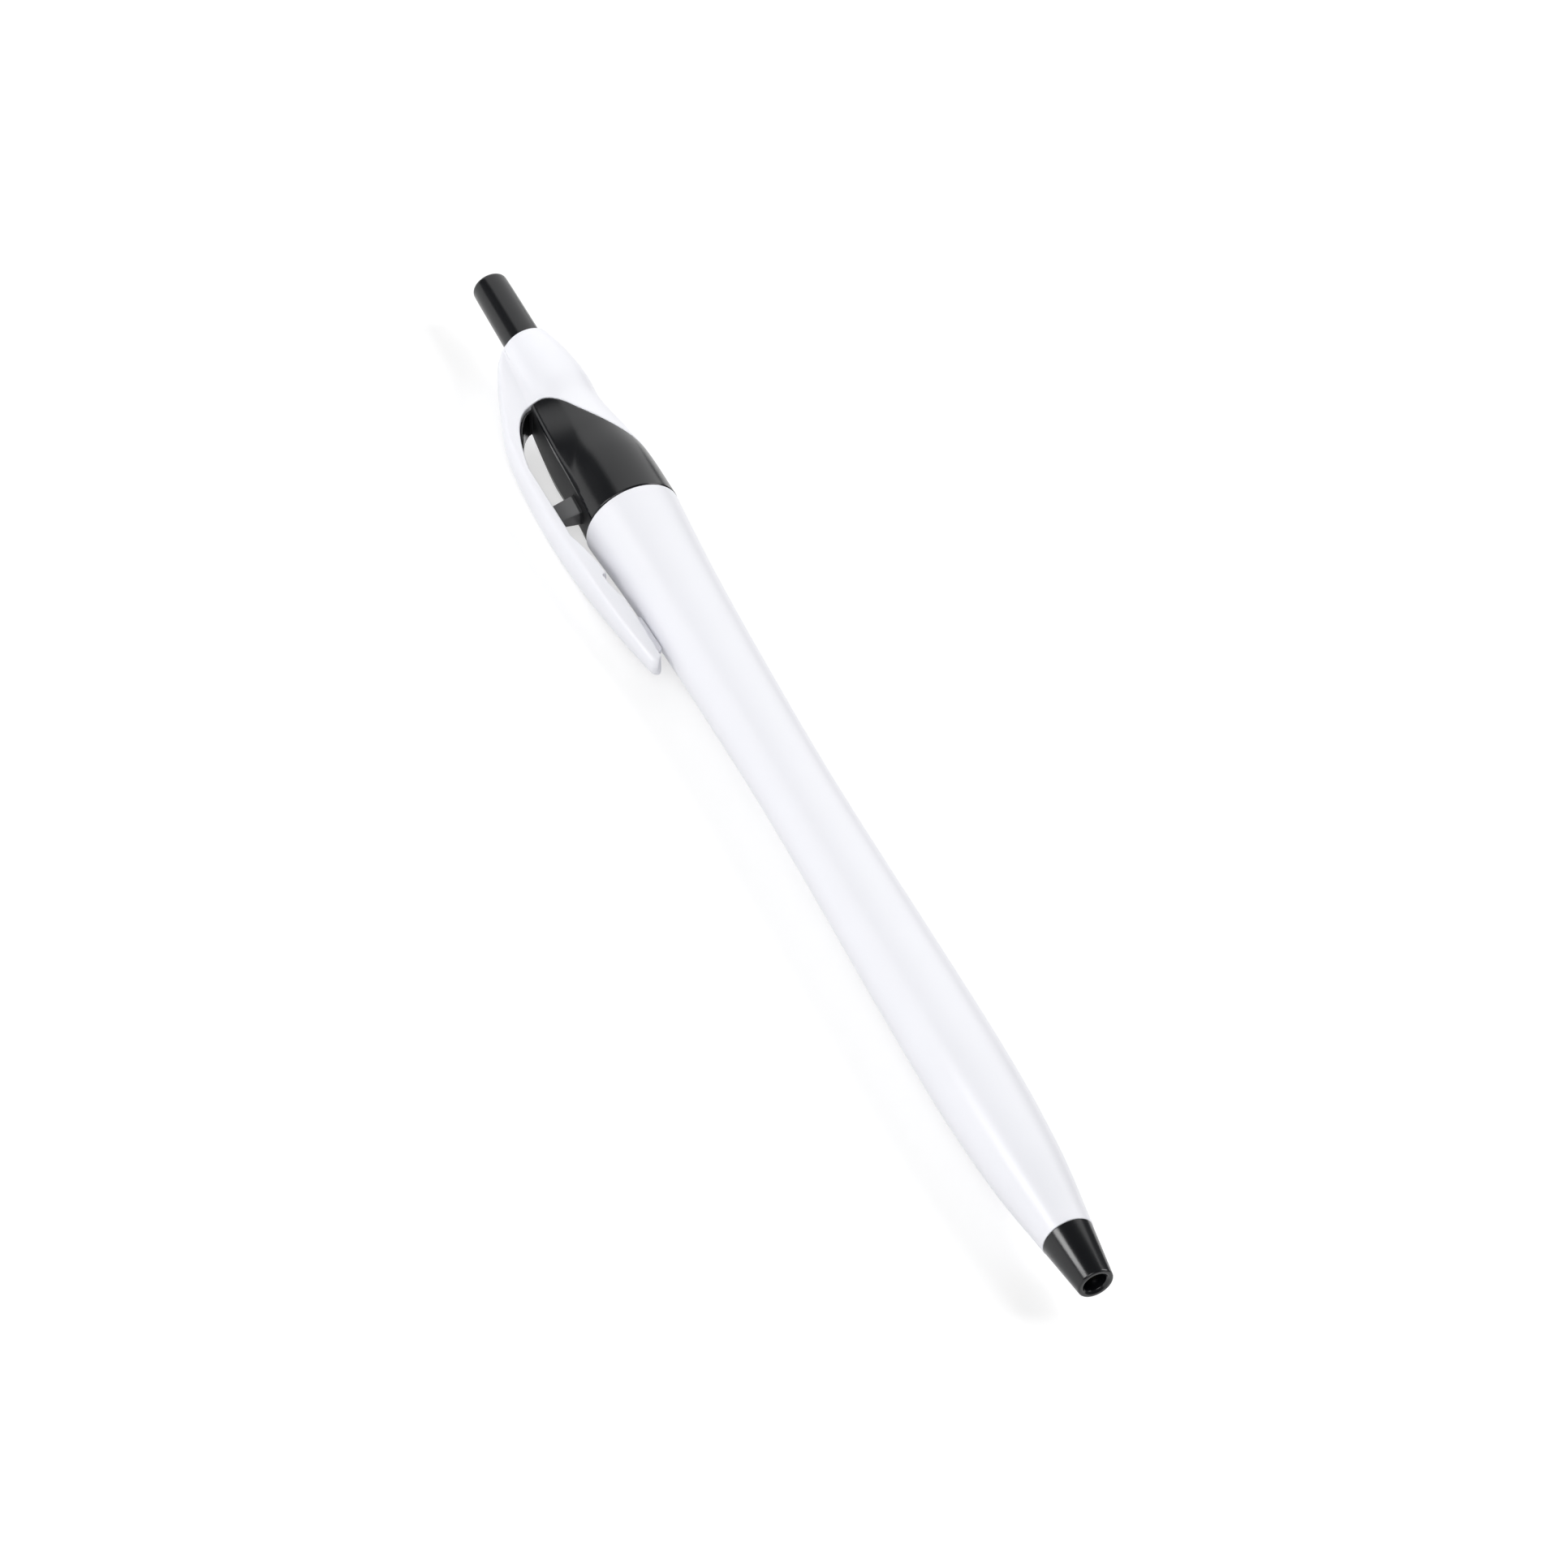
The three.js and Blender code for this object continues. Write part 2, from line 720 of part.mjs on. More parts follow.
// The rotor's crown meets the button's half a flank out of step, so each push turns it.
function makeRotor() {
  const crownX = rimX + buttonInside + toothHeight / 2 + toothGap;
  const hollowRadius = buttonRadius - buttonWall;
  const bodyX = crownX + toothHeight + toothGap;
  const endX = crownX + rotorLength;
  const body = turned(
    [
      [crownX - pilotLength, 0],
      [crownX - pilotLength, pilotRadius - clipEdge],
      [crownX - pilotLength + clipEdge, pilotRadius],
      [bodyX, pilotRadius],
      [bodyX, buttonRadius],
      [endX, buttonRadius],
      [endX, tubeRadius + fitGap],
      [endX - refillSeatDepth, tubeRadius + fitGap],
      [endX - refillSeatDepth, 0],
    ],
    innerSides,
  );
  const crown = toothRing(hollowRadius, buttonRadius, crownX, bodyX + toothHeight, 1);
  const splines = [];
  for (let i = 0; i < ribCount; i++) {
    const centre = (360 * i) / ribCount;
    const sloped = (share) => bodyX + toothHeight * share;
    const end = () => crownX + toothHeight + rotorSplineLength;
    splines.push(ribBlock(hollowRadius, splineRadius, centre, splineArc, sloped, end));
  }
  return splines.reduce((rotor, spline) => rotor.add(spline), body.add(crown));
}

// Places of the refill's pieces, from the ball back to the rotor's seat.
const ballX = noseEndX - tipSetBack - ballRadius;
const pointEndX = ballX + pointLip;
const pointStartX = pointEndX - pointLength;
const socketEndX = pointStartX + pointInSocket;
const flangeX = socketEndX - socketLength;
const tubeEndX = flangeX - fitGap;
const plugX = tubeEndX - socketPlug;
const rotorEndX = rimX + buttonInside + toothHeight / 2 + toothGap + rotorLength;
const tubeStartX = rotorEndX - refillSeatDepth + fitGap;
const tubeBore = tubeRadius - tubeWall;
const inkStartX = plugX - fitGap - inkLength;

function makeRefillTube() {
  return turned(
    [
      [tubeStartX, tubeBore],
      [tubeStartX, tubeRadius],
      [tubeEndX, tubeRadius],
      [tubeEndX, tubeBore],
    ],
    innerSides,
  );
}

function makeColumn(fromX, toX) {
  const radius = tubeBore - toothGap;
  return turned([[fromX, 0], [fromX, radius], [toX, radius], [toX, 0]], innerSides);
}

function makePointSocket() {
  const plugRadius = tubeBore - toothGap;
  const holeRadius = pointRadius - sleeveWall / 2;
  return turned(
    [
      [plugX, feedRadius],
      [plugX, plugRadius],
      [flangeX, plugRadius],
      [flangeX, flangeRadius],
      [flangeX + flangeThickness, flangeRadius],
      [flangeX + flangeThickness, socketRadius],
      [socketEndX - clipEdge, socketRadius],
      [socketEndX, socketRadius - clipEdge],
      [socketEndX, holeRadius + toothGap],
      [pointStartX - toothGap, holeRadius + toothGap],
      [pointStartX - toothGap, feedRadius],
    ],
    innerSides,
  );
}

function makeWritingPoint() {
  const neckRadius = pointRadius - sleeveWall / 2;
  const coneX = pointEndX - pointConeLength;
  const cupRadius = ballRadius + ballGap;
  const lipRadius = Math.sqrt(ballRadius ** 2 - pointLip ** 2) + ballGap;
  const seatX = ballX - ballRadius / 2;
  return turned(
    [
      [pointStartX, feedRadius],
      [pointStartX, neckRadius],
      [socketEndX + toothGap, neckRadius],
      [socketEndX + toothGap, pointRadius],
      [coneX, pointRadius],
      [pointEndX, pointTipRadius],
      [pointEndX, lipRadius],
      [ballX, cupRadius],
      [seatX, cupRadius],
      [seatX - cupRadius + feedRadius / 2, feedRadius / 2],
      [pointStartX + feedRadius, feedRadius / 2],
    ],
    innerSides,
  );
}

function makeBall() {
  const sphere = new THREE.SphereGeometry(ballRadius, 16, 12);
  return solidOf(sphere.rotateZ(-Math.PI / 2).translate(ballX, 0, 0));
}

// The spring's wire: one open tube on a helix between the flange and the nose cone's spigot.
function makeSpring() {
  const coilRadius = flangeRadius - wireRadius - fitGap / 2;
  const fromX = flangeX + flangeThickness + wireRadius + springSeatGap;
  const toX = barrelEndX - noseSpigotLength - wireRadius - springSeatGap;
  const steps = 8 * springCoils;
  const wireSides = 5;
  const centres = [];
  const rings = [];
  for (let i = 0; i <= steps; i++) {
    const angle = (360 * i) / 8;
    const x = fromX + ((toX - fromX) * i) / steps;
    centres.push(around(x, coilRadius, angle));
    const ring = [];
    for (let j = 0; j < wireSides; j++) {
      const turn = (2 * Math.PI * j) / wireSides;
      const radius = coilRadius + wireRadius * Math.cos(turn);
      ring.push(around(x + wireRadius * Math.sin(turn), radius, angle));
    }
    rings.push(ring);
  }
  console.log("least gap between the spring's coils: " + leastGap(centres).toFixed(2) + " mm");
  return lofted(rings);
}

// The least distance between two turns of the wire, surface to surface.
function leastGap(centres) {
  let least = Infinity;
  centres.forEach((p, i) => {
    for (let j = i + 6; j < centres.length; j++) least = Math.min(least, p.distanceTo(centres[j]));
  });
  return least - 2 * wireRadius;
}

const finishes = {
  white: new THREE.MeshStandardMaterial({ color: 0xf2f2f7, roughness: 0.25, metalness: 0 }),
  black: new THREE.MeshStandardMaterial({ color: 0x17181a, roughness: 0.22, metalness: 0 }),
  natural: new THREE.MeshStandardMaterial({ color: 0xe4e2da, roughness: 0.4, metalness: 0 }),
  ink: new THREE.MeshStandardMaterial({ color: 0x0b0d16, roughness: 0.3, metalness: 0 }),
  grease: new THREE.MeshStandardMaterial({ color: 0xd8c58a, roughness: 0.3, metalness: 0 }),
  brass: new THREE.MeshStandardMaterial({ color: 0xb99a52, roughness: 0.3, metalness: 1 }),
  steel: new THREE.MeshStandardMaterial({ color: 0xb8babd, roughness: 0.3, metalness: 1 }),
};

function named(name, solid, finish) {
  const mesh = solid.getMesh();
  const geometry = new THREE.BufferGeometry();
  geometry.setAttribute("position", new THREE.BufferAttribute(mesh.vertProperties, 3));
  geometry.setIndex(new THREE.BufferAttribute(mesh.triVerts, 1));
  const shown = new THREE.Mesh(geometry.toNonIndexed(), finishes[finish].clone());
  shown.geometry.computeVertexNormals();
  shown.name = name;
  return shown;
}

const pen = new THREE.Group();
pen.add(
  named("push_button", makeButton(), "black"),
  named("clip_cap", makeCap(), "white"),
  named("collar", makeCollar(), "black"),
  named("barrel", makeBarrel(), "white"),
  named("nose_cone", makeNoseCone(), "black"),
  named("indexing_rotor", makeRotor(), "natural"),
  named("refill_tube", makeRefillTube(), "natural"),
  named("ink", makeColumn(inkStartX, plugX - fitGap), "ink"),
  named("grease_follower", makeColumn(inkStartX - fitGap - greaseLength, inkStartX - fitGap), "grease"),
  named("point_socket", makePointSocket(), "natural"),
  named("writing_point", makeWritingPoint(), "brass"),
  named("point_ball", makeBall(), "steel"),
  named("return_spring", makeSpring(), "steel"),
);

// Height of a mesh's lowest point when the pen is turned about its axis.
function lowest(name, turn) {
  const places = pen.getObjectByName(name).geometry.getAttribute("position");
  let least = Infinity;
  for (let i = 0; i < places.count; i++) {
    least = Math.min(least, places.getY(i) * Math.sin(turn) + places.getZ(i) * Math.cos(turn));
  }
  return least;
}

// The pen lies on the collar's round back and rolls over until the clip's edge touches the table.
function restTurn() {
  let open = Math.PI / 2;
  let sunk = Math.PI;
  for (let i = 0; i < 40; i++) {
    const middle = (open + sunk) / 2;
    if (lowest("clip_cap", middle) > lowest("collar", middle)) open = middle;
    else sunk = middle;
  }
  return open;
}

pen.rotation.x = restTurn();
const box = new THREE.Box3().setFromObject(pen, true);
pen.position.set(-(box.min.x + box.max.x) / 2, -(box.min.y + box.max.y) / 2, -box.min.z);

const assembly = new THREE.Group();
assembly.add(pen);

export default assembly;
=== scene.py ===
# A retractable ballpoint pen lying on a pale table, dressed over its CAD frame.
# Shapes are worked out in millimetres along the pen: x from the button's end, z towards the clip.
import math

import bmesh
import bpy
import numpy as np
from mathutils import Matrix, Vector


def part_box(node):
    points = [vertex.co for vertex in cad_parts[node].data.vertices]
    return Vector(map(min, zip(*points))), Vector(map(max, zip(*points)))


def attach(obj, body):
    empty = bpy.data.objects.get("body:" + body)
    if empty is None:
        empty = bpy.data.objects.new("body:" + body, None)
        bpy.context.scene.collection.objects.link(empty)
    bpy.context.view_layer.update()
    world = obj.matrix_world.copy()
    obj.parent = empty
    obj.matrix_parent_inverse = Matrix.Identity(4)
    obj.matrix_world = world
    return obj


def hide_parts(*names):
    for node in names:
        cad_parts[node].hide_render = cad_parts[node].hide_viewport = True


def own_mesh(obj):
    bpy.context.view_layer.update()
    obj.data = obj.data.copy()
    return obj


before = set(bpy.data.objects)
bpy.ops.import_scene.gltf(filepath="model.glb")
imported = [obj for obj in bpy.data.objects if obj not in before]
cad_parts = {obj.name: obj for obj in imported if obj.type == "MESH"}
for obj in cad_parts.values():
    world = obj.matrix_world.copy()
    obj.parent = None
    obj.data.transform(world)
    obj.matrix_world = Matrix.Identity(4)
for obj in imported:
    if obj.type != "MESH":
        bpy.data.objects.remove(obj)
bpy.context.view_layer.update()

MM = 0.001

# Sizes of the pen, millimetres

BUTTON_OUT = 8.8
BUTTON_RADIUS = 1.98
BUTTON_TIP_RADIUS = 1.88
BUTTON_CROWN = 0.12
BUTTON_FLAT = 0.95
BUTTON_END = 12.0
BUTTON_HOLLOW_RADIUS = 1.2
BUTTON_HOLLOW_FROM = 2.6

RIM = BUTTON_OUT
RIM_RADIUS = 2.45
RIM_BORE = 2.09
CAM_BORE = 2.60
CAM_FROM = RIM + 1.9
RIB_LENGTH = 6.75
RIB_ARC = 40.0
TOOTH = 0.8
RIM_START = RIM + 0.28
WINDOW = RIM + 9.7
SEAM_TAIL = RIM + 19.45
COLLAR_END = 35.0
BARREL_END = 134.5
NOSE_END = 140.4
CLIP_END = RIM + 45.15
SLEEVE_FROM = RIM + 10.4
SLEEVE_TO = SLEEVE_FROM + 7.6
SLEEVE_RADIUS = 3.07
SPIGOT_RADIUS = 3.67
SPIGOT_TO = COLLAR_END + 7.5
FIT = 0.05
MOUTH = COLLAR_END + 0.1
TIP_JOINT = BARREL_END - 0.2
TIP_BORE = 2.11
TIP_PRESS_RADIUS = 2.06
TIP_DEPTH = 4.0

FLAT_SLOPE = 0.0425
FLAT_MIDDLE = 3.75
FLAT_HALF_WIDTH = 2.2
LIP_HALF_WIDTH = 1.7
STUD = RIM + 21.3
STUD_LENGTH = 2.5
STUD_HALF_WIDTH = 0.4
STUD_DRAFT = 0.14
# Lighter grey painted on the black stud under the clip: a painted sheen standing in for the light its
# face reflects.
STUD_SHEEN_GREY = (0.11, 0.111, 0.113)
ROOT_DEPTH = 0.42
UNDER_CLIP = 7.15
CLIP_CROWN = 0.5
CLIP_FULLNESS = 0.8
CLIP_HALF_WIDTH = 2.15
CLIP_TIP_LENGTH = 3
CATCH = CLIP_END - 12.3
FOOT = CLIP_END - 8.9
LIFT = CLIP_END - 0.85
PAD_FROM = CLIP_END - 7.85
PAD_SOLE_FROM = CLIP_END - 6.9
PAD_SOLE_TO = CLIP_END - 2.4
PAD_TO = CLIP_END - 1.45
PAD_HALF_WIDTH = 0.25
PAD_HEIGHT = 1.09
PAD_GAP = 0.08

ARC_POINTS = 7
LATHE_SIDES = 96


def smooth_through(places, values):
    """The smooth line through the given points, as a function of x."""
    xs, ys = np.array(places, float), np.array(values, float)
    last = len(xs) - 1
    before, after = np.maximum(np.arange(last + 1) - 1, 0), np.minimum(np.arange(last + 1) + 1, last)
    slopes = (ys[after] - ys[before]) / (xs[after] - xs[before])

    def value(x):
        i = np.clip(np.searchsorted(xs, x, side="left") - 1, 0, last - 1)
        span = xs[i + 1] - xs[i]
        t = np.clip((x - xs[i]) / span, 0.0, 1.0)
        rise = ys[i + 1] - ys[i]
        bend = span * slopes[i] - rise
        back = rise - span * slopes[i + 1]
        return ys[i] + t * rise + t * (1 - t) * ((1 - t) * bend + t * back)

    return value


body_places = [RIM, RIM + 3.9, RIM + 7.7, RIM + 11.0, RIM + 16.2, RIM + 20.2, COLLAR_END]
body_radius = smooth_through(body_places, [RIM_RADIUS, 3.34, 3.74, 3.65, 4.43, 4.96, 5.12])
flat_places = [RIM, RIM + 3.9, WINDOW, RIM + 16.2, RIM + 20.2, COLLAR_END]
flat_height = smooth_through(flat_places, [2.35, 3.08, 3.62, 4.12, 4.18, 4.4])
flat_half_width = smooth_through(flat_places, [0.7, 1.4, 2.25, 3.05, 2.85, 2.6])
barrel_radius = smooth_through(
    [COLLAR_END + d for d in (0, 10, 24, 40.5, 77, 90)] + [BARREL_END],
    [5.1, 4.46, 4.0, 3.77, 4.28, 3.8, 2.67],
)
clip_top = smooth_through(
    [RIM, RIM + 2.6, RIM + 7.9, RIM + 13, RIM + 21.4, RIM + 29.6, CLIP_END - 7.4, CLIP_END],
    [2.5, 4.15, 6.18, 7.65, 8.33, 8.18, 7.38, 6.28],
)
clip_half_width = smooth_through(
    [RIM, RIM + 3.9, WINDOW, CLIP_END - 15.5, CLIP_END - 8.9, CLIP_END - 0.85, CLIP_END],
    [0.7, 1.65, 2.15, 2.15, 1.75, 1.2, 1.0],
)

# Where the pen lies

barrel_low, barrel_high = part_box("barrel")
axis_y = (barrel_low.y + barrel_high.y) / 2
axis_z = (barrel_low.z + barrel_high.z) / 2
start_x = barrel_low.x - COLLAR_END * MM


def clip_direction():
    """The direction from the pen's axis to the top of the clip's back, in the picture's frame."""
    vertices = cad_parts["clip_cap"].data.vertices
    reach = [Vector((v.co.y - axis_y, v.co.z - axis_z)) for v in vertices]
    return max(reach, key=lambda r: r.length).normalized()


clip_way = clip_direction()


def laid_ways(ways):
    """Directions of the pen's own frame, as the pen lies on the table."""
    x, y, z = ways.T
    return np.stack([x, y * clip_way.y + z * clip_way.x, z * clip_way.y - y * clip_way.x], axis=1)


def laid_down(points):
    """Points of the pen's own frame, in millimetres, where the pen lies on the table, in metres."""
    return laid_ways(points) * MM + (start_x, axis_y, axis_z)


# Finishes


class Finish:
    """A procedural material on the piece's own coordinates, put together from named nodes."""

    def __init__(self, name):
        self.material = bpy.data.materials.new(name)
        self.material.use_nodes = True
        self.nodes, self.links = self.material.node_tree.nodes, self.material.node_tree.links
        self.shader = self.nodes["Principled BSDF"]
        self.place = self.nodes.new("ShaderNodeTexCoord").outputs["Object"]

    def along(self, x, y, z):
        """The piece's coordinates, stretched by these scales."""
        mapping = self.nodes.new("ShaderNodeMapping")
        mapping.inputs["Scale"].default_value = (x, y, z)
        self.links.new(self.place, mapping.inputs["Vector"])
        return mapping.outputs["Vector"]

    def noise(self, scale, detail=2.0, source=None, rough=0.5):
        """Noise in features per metre."""
        node = self.nodes.new("ShaderNodeTexNoise")
        node.inputs["Scale"].default_value = scale
        node.inputs["Detail"].default_value = detail
        node.inputs["Roughness"].default_value = rough
        self.links.new(source or self.place, node.inputs["Vector"])
        return node.outputs["Fac"]

    def ranged(self, value, low, high, start=0.3, end=0.7):
        """A value taken from one range to another."""
        node = self.nodes.new("ShaderNodeMapRange")
        for label, number in (("From Min", start), ("From Max", end), ("To Min", low), ("To Max", high)):
            node.inputs[label].default_value = number
        self.links.new(value, node.inputs["Value"])
        return node.outputs["Result"]

    def tones(self, share, deep, light):
        """Base colour that wanders between two tones."""
        mix = self.nodes.new("ShaderNodeMix")
        mix.data_type = "RGBA"
        mix.inputs["A"].default_value = (*deep, 1)
        mix.inputs["B"].default_value = (*light, 1)
        self.links.new(share, mix.inputs["Factor"])
        self.colour = mix.outputs["Result"]
        self.links.new(mix.outputs["Result"], self.shader.inputs["Base Color"])

    def near(self, way, point, reach, fade):
        """1 within reach, in mm, of the plane square to a way at a point of the pen, and 0 past it."""
        along = self.nodes.new("ShaderNodeVectorMath")
        along.operation = "DOT_PRODUCT"
        along.inputs[1].default_value = way
        self.links.new(self.place, along.inputs[0])
        level = float(laid_down(np.array([point]))[0] @ way)
        away = self.worked_out("ABSOLUTE", self.worked_out("SUBTRACT", along.outputs["Value"], level))
        return self.ranged(away, 1, 0, reach * MM, (reach + fade) * MM)

    def worked_out(self, operation, first, second=0.0):
        """The result of an operation on a value and a number."""
        node = self.nodes.new("ShaderNodeMath")
        node.operation = operation
        self.links.new(first, node.inputs[0])
        node.inputs[1].default_value = second
        return node.outputs[0]

    def times(self, first, second):
        """One value times another."""
        product = self.worked_out("MULTIPLY", first)
        self.links.new(second, product.node.inputs[1])
        return product

    def painted_sheen_to(self, share, sheen_tone):
        """Base colour mixed towards another, by a share: a painted sheen on the stud."""
        mix = self.nodes.new("ShaderNodeMix")
        mix.data_type = "RGBA"
        self.links.new(self.colour, mix.inputs["A"])
        mix.inputs["B"].default_value = (*sheen_tone, 1)
        self.links.new(share, mix.inputs["Factor"])
        self.links.new(mix.outputs["Result"], self.shader.inputs["Base Color"])

    def mixed(self, share, first, last):
        """From a value to a number, by a share."""
        mix = self.nodes.new("ShaderNodeMix")
        self.links.new(share, mix.inputs["Factor"])
        self.links.new(first, mix.inputs["A"])
        mix.inputs["B"].default_value = last
        return mix.outputs["Result"]

    def relief(self, *layers):
        """Bumps of given heights in metres, one over the other."""
        normal = None
        for height, depth in layers:
            bump = self.nodes.new("ShaderNodeBump")
            bump.inputs["Distance"].default_value = depth
            self.links.new(height, bump.inputs["Height"])
            if normal:
                self.links.new(normal, bump.inputs["Normal"])
            normal = bump.outputs["Normal"]
        self.links.new(normal, self.shader.inputs["Normal"])

    def gloss(self, value):
        """How rough the surface is, place by place."""
        self.links.new(value, self.shader.inputs["Roughness"])

    def put(self, **numbers):
        """Plain numbers on the shader's own sockets."""
        for label, number in numbers.items():
            self.shader.inputs[label.replace("_", " ")].default_value = number


def under_the_clip(finish, glossy, matt):
    """Roughness with the collar's flat made matt; the stud on the flat is painted a lighter grey, a
    painted sheen for the light its black face reflects.
    """
    flat_way = (-FLAT_SLOPE, clip_way.x, clip_way.y)
    side_way = (0, clip_way.y, -clip_way.x)
    level = finish.near(flat_way, (WINDOW, 0, FLAT_MIDDLE), 0.2, 0.05)
    middle = finish.near(side_way, (0, 0, 0), FLAT_HALF_WIDTH, 0.1)
    above = finish.near(flat_way, (WINDOW, 0, FLAT_MIDDLE + 1.9), 1.6, 0.1)
    along = finish.near((1, 0, 0), (STUD + STUD_LENGTH / 2, 0, 0), STUD_LENGTH / 2 + 0.25, 0.1)
    # The stud is painted a lighter grey: painted sheen standing in for reflected light.
    finish.painted_sheen_to(finish.times(above, along), STUD_SHEEN_GREY)
    return finish.mixed(finish.times(level, middle), glossy, matt)


def moulded_plastic(name, deep, light, gloss, scuff, peel, matt_flat=None):
    """Moulded plastic: faint clouding, hairline scuffs along the pen, and the mould's soft peel."""
    finish = Finish(name)
    finish.put(IOR=1.49)
    clouding = finish.noise(130, detail=3)
    finish.tones(finish.ranged(clouding, 0, 1), deep, light)
    hairlines = finish.noise(9000, source=finish.along(0.02, 1, 1), rough=0.6)
    handled = finish.noise(260, detail=4, rough=0.6)
    scratched = finish.ranged(hairlines, 0, 1, 0.45, 0.8)
    touched = finish.ranged(handled, 0, 1, 0.4, 0.65)
    glossy = finish.ranged(finish.times(scratched, touched), gloss, gloss + scuff, 0, 1)
    if matt_flat:
        glossy = under_the_clip(finish, glossy, matt_flat)
    finish.gloss(glossy)
    finish.relief((finish.noise(350, detail=1), peel), (finish.noise(1900), peel * 0.12))
    return finish.material


def turned_metal(name, deep, light, gloss, ring):
    """Turned or drawn metal: fine rings round the pen's axis and a little tarnish."""
    finish = Finish(name)
    finish.put(Metallic=1.0)
    tarnish = finish.noise(900, detail=3)
    finish.tones(finish.ranged(tarnish, 0, 1), deep, light)
    rings = finish.noise(12000, source=finish.along(1, 0.02, 0.02))
    finish.gloss(finish.ranged(rings, gloss * 0.8, gloss * 1.3))
    finish.relief((rings, ring))
    return finish.material


def wet_paste(name, deep, light, gloss):
    """A paste with a wet face and slow swirls of tone."""
    finish = Finish(name)
    finish.put(IOR=1.47)
    swirls = finish.noise(500, detail=4, source=finish.along(0.2, 1, 1))
    finish.tones(finish.ranged(swirls, 0, 1), deep, light)
    finish.gloss(finish.ranged(finish.noise(1500), gloss, gloss + 0.1))
    finish.relief((swirls, 0.00001))
    return finish.material


white_plastic = moulded_plastic(
    "white_plastic", (0.874, 0.878, 0.914), (0.884, 0.888, 0.926),
    gloss=0.34, scuff=0.05, peel=0.0000012,
)
black_plastic = moulded_plastic(
    "black_plastic", (0.0038, 0.0042, 0.0052), (0.0052, 0.0057, 0.0068),
    gloss=0.22, scuff=0.05, peel=0.0000008, matt_flat=0.6,
)
natural_plastic = moulded_plastic(
    "natural_plastic", (0.76, 0.75, 0.7), (0.81, 0.8, 0.75),
    gloss=0.38, scuff=0.1, peel=0.000002,
)
refill_plastic = moulded_plastic(
    "refill_plastic", (0.74, 0.74, 0.7), (0.79, 0.79, 0.75),
    gloss=0.26, scuff=0.1, peel=0.000002,
)
ink_paste = wet_paste("ink", (0.003, 0.004, 0.01), (0.006, 0.007, 0.016), gloss=0.2)
grease = wet_paste("grease", (0.55, 0.44, 0.2), (0.63, 0.5, 0.24), gloss=0.15)
brass = turned_metal("brass", (0.62, 0.48, 0.22), (0.76, 0.61, 0.32), gloss=0.22, ring=0.0000006)
steel = turned_metal("steel", (0.52, 0.52, 0.53), (0.64, 0.64, 0.65), gloss=0.2, ring=0.0000004)

# Trees that make the turned pieces and the spring

WIRE_POINTS = 420
WIRE_SIDES = 12
END_COILS_CLOSED = 0.055


def new_tree(name, inputs):
    """An empty Geometry Nodes tree with named inputs, its input node and its output node."""
    tree = bpy.data.node_groups.new(name, "GeometryNodeTree")
    face = tree.interface
    face.new_socket("Geometry", in_out="INPUT", socket_type="NodeSocketGeometry")
    for label, kind in inputs:
        face.new_socket(label, in_out="INPUT", socket_type=kind)
    face.new_socket("Geometry", in_out="OUTPUT", socket_type="NodeSocketGeometry")
    return tree, tree.nodes.new("NodeGroupInput"), tree.nodes.new("NodeGroupOutput")


def math_node(tree, operation, a, b=None, c=None):
    """A math node on values or sockets; returns its output."""
    node = tree.nodes.new("ShaderNodeMath")
    node.operation = operation
    for socket, value in zip(node.inputs, (a, b, c)):
        if value is None:
            continue
        if isinstance(value, bpy.types.NodeSocket):
            tree.links.new(value, socket)
        else:
            socket.default_value = value
    return node.outputs[0]


def close_tree(tree, mesh, given, output):
    """Smooth shading, then Realize Instances and Set Material, as the tree's end."""
    smooth = tree.nodes.new("GeometryNodeSetShadeSmooth")
    real = tree.nodes.new("GeometryNodeRealizeInstances")
    paint = tree.nodes.new("GeometryNodeSetMaterial")
    tree.links.new(mesh, smooth.inputs["Geometry"])
    tree.links.new(smooth.outputs["Geometry"], real.inputs["Geometry"])
    tree.links.new(real.outputs["Geometry"], paint.inputs["Geometry"])
    tree.links.new(given.outputs["Finish"], paint.inputs["Material"])
    tree.links.new(paint.outputs["Geometry"], output.inputs["Geometry"])


